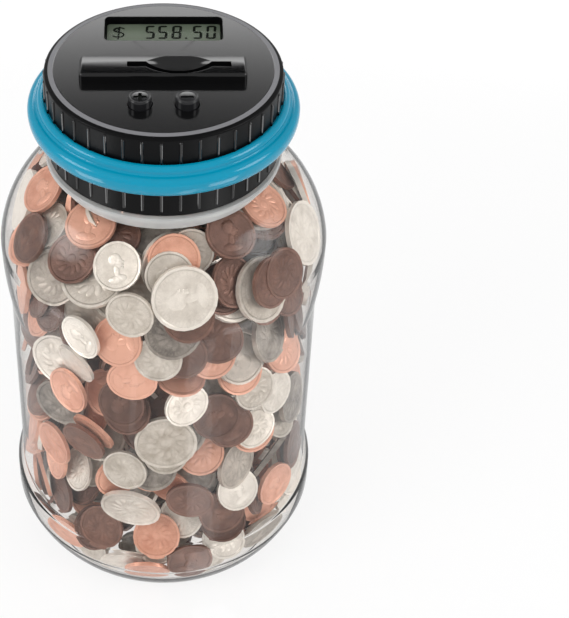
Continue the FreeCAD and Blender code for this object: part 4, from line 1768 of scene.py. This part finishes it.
@dataclass
class InnerWorks:
    """The parts inside the lid, kept as they stand and given their finishes."""

    plain: dict[str, tuple[str, ...]] = field(default_factory=lambda: {
        "chute": ("chute_front", "chute_rear"),
        "lever": ("coin_lever",),
        "frame": ("lcd_frame",),
        "door": ("battery_door",),
        "rubber": ("contact_strips",),
        "foam": ("lid_seal",),
        "board": ("circuit_board", "encoder_board"),
        "chip": ("controller_chip",),
        "silicone": ("plus_dome", "minus_dome"),
        "jacket": ("battery_front", "battery_rear"),
        "metal": ("crystal", "lever_shaft", "contact_wiper", "lever_spring", "bridge_contact",
                  "plus_contact", "minus_contact", "door_screw", "case_screws", "board_screws"),
    })

    def build(self) -> None:
        """Dress every inner node."""
        finishes = {
            # polystyrene, moulded: dark and slightly sheened
            "chute": MouldedPlastic("polystyrene_dark_grey", "1E1F20", Surface.SATIN),
            # acetal: milky, smooth and slippery
            "lever": MouldedPlastic("acetal_natural", "D9D6CB", Surface.SATIN, grain_mm=0.8),
            # ABS, plainly moulded: dark with a low sheen
            "frame": MouldedPlastic("abs_black_inner", "141414", Surface.SATIN),
            # ABS, spark-eroded: a fine matt grain
            "door": MouldedPlastic("abs_black_grained", "151515", Surface.MATT, grain_mm=0.7),
            # conductive silicone strip: sooty black and dull
            "rubber": MouldedPlastic("silicone_carbon_black", "202021", Surface.MATT),
            # foamed polyethylene: off-white with open cells
            "foam": MouldedPlastic("polyethylene_foam", "D8D6CE", Surface.MATT, grain_mm=0.9,
                                   ripple_depth=0.3),
            # glass-epoxy laminate under green resist: glossy, faint weave
            "board": MouldedPlastic("glass_epoxy_green", "1F5B33", Surface.SATIN, grain_mm=0.6),
            # epoxy, moulded round the chip: charcoal and dull
            "chip": MouldedPlastic("epoxy_moulding_black", "1B1B1D", Surface.MATT, grain_mm=0.5),
            # silicone rubber: milky grey with a soft sheen
            "silicone": MouldedPlastic("silicone_translucent", "A9A79F", Surface.SATIN),
            # printed cell jacket: plain blue enamel
            "jacket": MouldedPlastic("enamelled_cell_jacket", "22406E", Surface.POLISHED, grain_mm=1.0,
                                     coat=0.5),
            # nickel-plated steel: cool and bright with drawn streaks
            "metal": PlainMetal("nickel_plated_steel"),
        }
        for key, nodes in self.plain.items():
            material = finishes[key].build()
            for node in nodes:
                dress(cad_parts[node], material)
                LOG.info("%s keeps its shape, finished as %s", node, material.name)


# -------------------------------------------------------------------- stage
@dataclass
class Studio:
    """White sweep, plain soft light and the camera."""

    reach: float = 3.0
    place: Point = (0.0, -0.5065, 0.5756)
    aim: Point = (0.0, 0.7368, -0.6761)
    lens: float = 99.09
    shift: float = 0.1956
    floor_glow: float = 0.82
    glare: float = 10.0
    gap_level: float = 0.06
    panel_stops: tuple[tuple[float, float], ...] = (
        (0.0, 0.8), (0.44, 0.8), (0.5, 5.2), (0.533, 6.8), (0.5455, 2.6),
        (0.56, 0.7), (0.575, 0.2), (0.59, 0.0), (0.72, 0.0), (1.0, 0.5))
    soft_boxes: tuple[Point, ...] = ((-0.85, -0.18, 0.49), (0.85, -0.18, 0.49))
    soft_box_level: float = 6.0

    def white_paths(self, tree: bpy.types.NodeTree) -> bpy.types.NodeSocket:
        """Pick out the rays that see the floor as plain white.

        Args:
            tree: The floor's nodes.

        Returns:
            1 for camera, glossy and transmission rays, and 0 for the rest.
        """
        path = add_node(tree, "ShaderNodeLightPath")
        first = calc(tree, "MAXIMUM", path.outputs["Is Camera Ray"], path.outputs["Is Glossy Ray"])
        return calc(tree, "MAXIMUM", first, path.outputs["Is Transmission Ray"])

    def build_floor(self) -> bpy.types.Object:
        """Lay the white floor, which keeps a little of the object's shadow.

        Returns:
            The floor.
        """
        deselect()
        bpy.ops.mesh.primitive_plane_add(size=2.0 * self.reach, location=(0.0, 0.0, -0.0002))
        floor = rename("floor")
        # acrylic sheet, white and smooth: it mirrors the object faintly
        material, tree = new_material("matt_white_acrylic_sheet")
        shader = tree.nodes["Principled BSDF"]
        shader.inputs["Base Color"].default_value = linear("F2F2F2")
        shader.inputs["Roughness"].default_value = 0.12
        shader.inputs["Specular IOR Level"].default_value = 0.5
        white = add_node(tree, "ShaderNodeEmission", {"Strength": 1.0})
        share = calc(tree, "MULTIPLY", self.white_paths(tree), self.floor_glow)
        mix = blend_shaders(tree, share, shader.outputs["BSDF"], white.outputs["Emission"])
        tree.links.new(mix, tree.nodes["Material Output"].inputs["Surface"])
        dress(floor, material)
        return floor

    def build_card(self, name: str, corners: Sequence[tuple[float, float]],
                   level: float) -> bpy.types.Object:
        """Lay a light card on the floor that shows only in mirrors.

        Args:
            name: Its name.
            corners: Its four corners in turn, in millimetres.
            level: How bright it is.

        Returns:
            The card.
        """
        deselect()
        bpy.ops.mesh.primitive_plane_add(size=1.0)
        card = rename(name)
        for vertex, k in zip(card.data.vertices, (0, 1, 3, 2)):
            vertex.co = (mm(corners[k][0]), mm(corners[k][1]), mm(0.1))
        material, tree = new_material("light_card_" + name, bare=True)
        path = add_node(tree, "ShaderNodeLightPath")
        clear = add_node(tree, "ShaderNodeBsdfTransparent")
        glow = add_node(tree, "ShaderNodeEmission", {"Strength": level})
        mix = blend_shaders(tree, path.outputs["Is Glossy Ray"], clear.outputs["BSDF"],
                            glow.outputs["Emission"])
        tree.links.new(mix, tree.nodes["Material Output"].inputs["Surface"])
        dress(card, material)
        return card

    def back_panel(self, tree: bpy.types.NodeTree, toward: bpy.types.NodeSocket) -> bpy.types.NodeSocket:
        """Hang a bright panel behind the object, over a dark gap.

        Args:
            tree: The world's nodes.
            toward: The direction looked in.

        Returns:
            The brightness of its mirror image.
        """
        axes = add_node(tree, "ShaderNodeSeparateXYZ", links={0: toward})
        back = add_node(tree, "ShaderNodeValToRGB", links={"Fac": axes.outputs["Z"]})
        ramp = back.color_ramp
        while len(ramp.elements) < len(self.panel_stops):
            ramp.elements.new(0.5)
        for element, (height, level) in zip(ramp.elements, self.panel_stops):
            element.position = height
            element.color = (level / self.glare,) * 3 + (1.0,)
        rear = add_node(tree, "ShaderNodeMapRange", {"From Min": -0.15, "From Max": 0.15},
                        {"Value": axes.outputs["Y"]})
        middle = add_node(tree, "ShaderNodeMapRange", {"From Min": 0.42, "From Max": 0.22},
                          {"Value": calc(tree, "ABSOLUTE", axes.outputs["X"])})
        panel = calc(tree, "MULTIPLY", rear.outputs["Result"], middle.outputs["Result"])
        gloss = add_node(tree, "ShaderNodeMix", {"data_type": "FLOAT", 2: self.gap_level},
                         {"Factor": panel, 3: back.outputs["Color"]})
        return calc(tree, "MULTIPLY", gloss.outputs[0], self.glare)

    def build_world(self) -> None:
        """Set a white surround whose mirror image holds the back panel and two soft boxes."""
        world = bpy.data.worlds.new("studio")
        bpy.context.scene.world = world
        world.use_nodes = True
        tree = world.node_tree
        tree.nodes.clear()
        out = add_node(tree, "ShaderNodeOutputWorld")
        toward = add_node(tree, "ShaderNodeTexCoord").outputs["Generated"]
        total = self.back_panel(tree, toward)
        for direction in self.soft_boxes:
            near = add_node(tree, "ShaderNodeVectorMath", {"operation": "DOT_PRODUCT", 1: direction},
                            {0: toward})
            box = add_node(tree, "ShaderNodeMapRange",
                           {"From Min": 0.96, "From Max": 0.98, "To Max": self.soft_box_level},
                           {"Value": near.outputs["Value"]})
            total = calc(tree, "ADD", total, box.outputs["Result"])
        path = add_node(tree, "ShaderNodeLightPath")
        plain = add_node(tree, "ShaderNodeMapRange", {"To Min": 0.9, "To Max": 1.0},
                         {"Value": path.outputs["Is Camera Ray"]})
        level = add_node(tree, "ShaderNodeMix", {"data_type": "FLOAT"},
                         {"Factor": path.outputs["Is Glossy Ray"], 2: plain.outputs["Result"], 3: total})
        sky = add_node(tree, "ShaderNodeBackground", {"Color": (1.0, 1.0, 1.0, 1.0)},
                       {"Strength": level.outputs[0]})
        tree.links.new(sky.outputs["Background"], out.inputs["Surface"])

    def add_lamp(self, name: str, place: Point, target: Point, size: tuple[float, float], power: float,
                 gloss: bool) -> bpy.types.Object:
        """Hang one soft area lamp that the camera doesn't see.

        Args:
            name: Its name.
            place: Where it hangs, in metres.
            target: What it faces, in metres.
            size: Width and height, in metres.
            power: Watts.
            gloss: Whether it shows in mirrors.

        Returns:
            The lamp.
        """
        deselect()
        bpy.ops.object.light_add(type="AREA", location=place)
        lamp = bpy.context.object
        lamp.name = name
        lamp.data.shape = "RECTANGLE"
        lamp.data.size, lamp.data.size_y = size
        lamp.data.energy = power
        lamp.rotation_euler = (Vector(target) - Vector(place)).to_track_quat("-Z", "Y").to_euler()
        lamp.visible_camera = False
        lamp.visible_glossy = gloss
        return lamp

    def build_camera(self) -> None:
        """Set the camera in front, looking down at the lid."""
        deselect()
        bpy.ops.object.camera_add(location=self.place)
        camera = bpy.context.object
        camera.name = "camera"
        camera.rotation_euler = Vector(self.aim).to_track_quat("-Z", "Y").to_euler()
        camera.data.lens = self.lens
        camera.data.sensor_width = 36.0
        camera.data.shift_x = self.shift
        camera.data.clip_start = 0.01
        bpy.context.scene.camera = camera

    def build(self) -> None:
        """Set up floor, surround, lamps and camera."""
        self.build_floor()
        self.build_card("card_broad", ((11.0, -66.0), (25.0, -62.0), (120.0, -190.0), (66.0, -226.0)), 2.6)
        self.build_card("card_thin", ((-20.0, -65.0), (-16.0, -66.0), (-66.0, -200.0), (-80.0, -195.0)), 2.2)
        half, near, far = 12.0, 235.0, 380.0
        for name, side in (("card_left", -61.0), ("card_right", 48.0)):
            turns = [(side - half, near), (side + half, near), (side + half, far), (side - half, far)]
            turns = [(math.radians(a), d) for a, d in turns]
            self.build_card(name, [(math.sin(a) * d, -math.cos(a) * d) for a, d in turns], 4.5)
        self.build_world()
        self.add_lamp("key_left", (-0.55, -0.45, 0.75), (0.0, 0.0, 0.12), (0.5, 0.5), 3.0, False)
        self.add_lamp("fill_right", (0.65, -0.35, 0.5), (0.0, 0.0, 0.12), (0.4, 0.5), 1.6, False)
        self.build_camera()
        bpy.context.scene.view_settings.view_transform = "Standard"


# --------------------------------------------------------------------- main
def main() -> None:
    """Build every sub-assembly in order."""
    # polyethylene terephthalate, blown: clear with soft waves, and painted grey shade at its outlines
    clear = ClearPlastic("blown_pet_clear").build()
    # ABS, mirror-polished tool: deep black that mirrors the back light
    black = MouldedPlastic("abs_black_polished", "0A0A0B", Surface.SOFT_POLISH, ripple_depth=0.002)
    # ABS keys: the same black, dulled by fingertips
    keys = MouldedPlastic("abs_black_keys", "1C1C1E", Surface.SOFT_POLISH, ripple_depth=0.01, level=0.45)
    # ABS, ribbed by the tool: the same black, with a weaker gleam on its grips
    grip = MouldedPlastic("abs_black_skirt", "0A0A0B", Surface.SATIN, ripple_depth=0.01, level=0.1)
    # the same black on the ribs, where hands have polished it
    ribs = MouldedPlastic("abs_black_ribs", "0C0C0D", Surface.POLISHED, ripple_depth=0.01).build()
    # ABS bevel round the lid painted pale grey: a painted highlight, a thin light line round the lid
    rim = MouldedPlastic("abs_black_worn_bevel", "78787B", Surface.SATIN, ripple_depth=0.01, level=0.12)
    # ABS, polished and coloured through: glossy cyan blue
    blue = MouldedPlastic("abs_cyan_polished", "008CAC", Surface.POLISHED, level=0.32)
    # dyed liquid crystal: nearly black, dull; it also paints shade inside the sunk key signs
    ink = MouldedPlastic("liquid_crystal_dark", "0E100D", Surface.MATT, level=0.1)
    # polycarbonate sheet over the display: thin, flat and nearly invisible, with faint painted grey shade at
    # its edges
    window = ClearPlastic("polycarbonate_window", tint="F4F5F4", mirror=0.06, rim=0.1, rough=0.03)
    black_done, grip_done, keys_done, ink_and_sign_shade = black.build(), grip.build(), keys.build(), ink.build()
    jar = ClearJar()
    jar.build(clear, ThickClear("pet_thick_collar").build())
    LOG.info("jar_shell and neck_thread built")
    lid = ScrewLid()
    lid.build_ring(blue.build())
    LOG.info("blue_ring built")
    lid.build_base(grip_done, ribs)
    LOG.info("lid_lower built")
    lid.build_cover(grip_done, rim.build(), black_done, ribs)
    LOG.info("lid_upper built")
    for node, body, upright in (("plus_button", "plus_key", True), ("minus_button", "minus_key", False)):
        key = Key(node, body, upright).build(keys_done, ink_and_sign_shade)
        LOG.info("%s built", key.name)
    display = Display()
    display.build(ink_and_sign_shade)
    display.build_mask(ink_and_sign_shade)
    display.build_window(window.build())
    display.build_ground(DisplayGlass().build())
    LOG.info("display built")
    # coin metals: new copper plate is salmon pink, worn copper plate a dark brown, worn cupronickel
    # a warm grey, and cupronickel cladding nearly white
    metals = {
        "cent_bright": StruckMetal("copper_plate_bright", Metal.COPPER, 0.32),
        "cent_brown": StruckMetal("copper_plate_browned", Metal.BROWN_COPPER, 0.42),
        "nickel": StruckMetal("cupronickel_worn", Metal.WORN_NICKEL, 0.38),
        "dime": StruckMetal("cupronickel_clad_small", Metal.CUPRONICKEL, 0.3),
        "quarter": StruckMetal("cupronickel_clad", Metal.CUPRONICKEL, 0.32),
    }
    CoinHeap(jar).build({key: metal.build() for key, metal in metals.items()})
    InnerWorks().build()
    Studio().build()


if __name__ == "__main__":
    logging.basicConfig(level=logging.INFO, format="%(message)s")
    main()
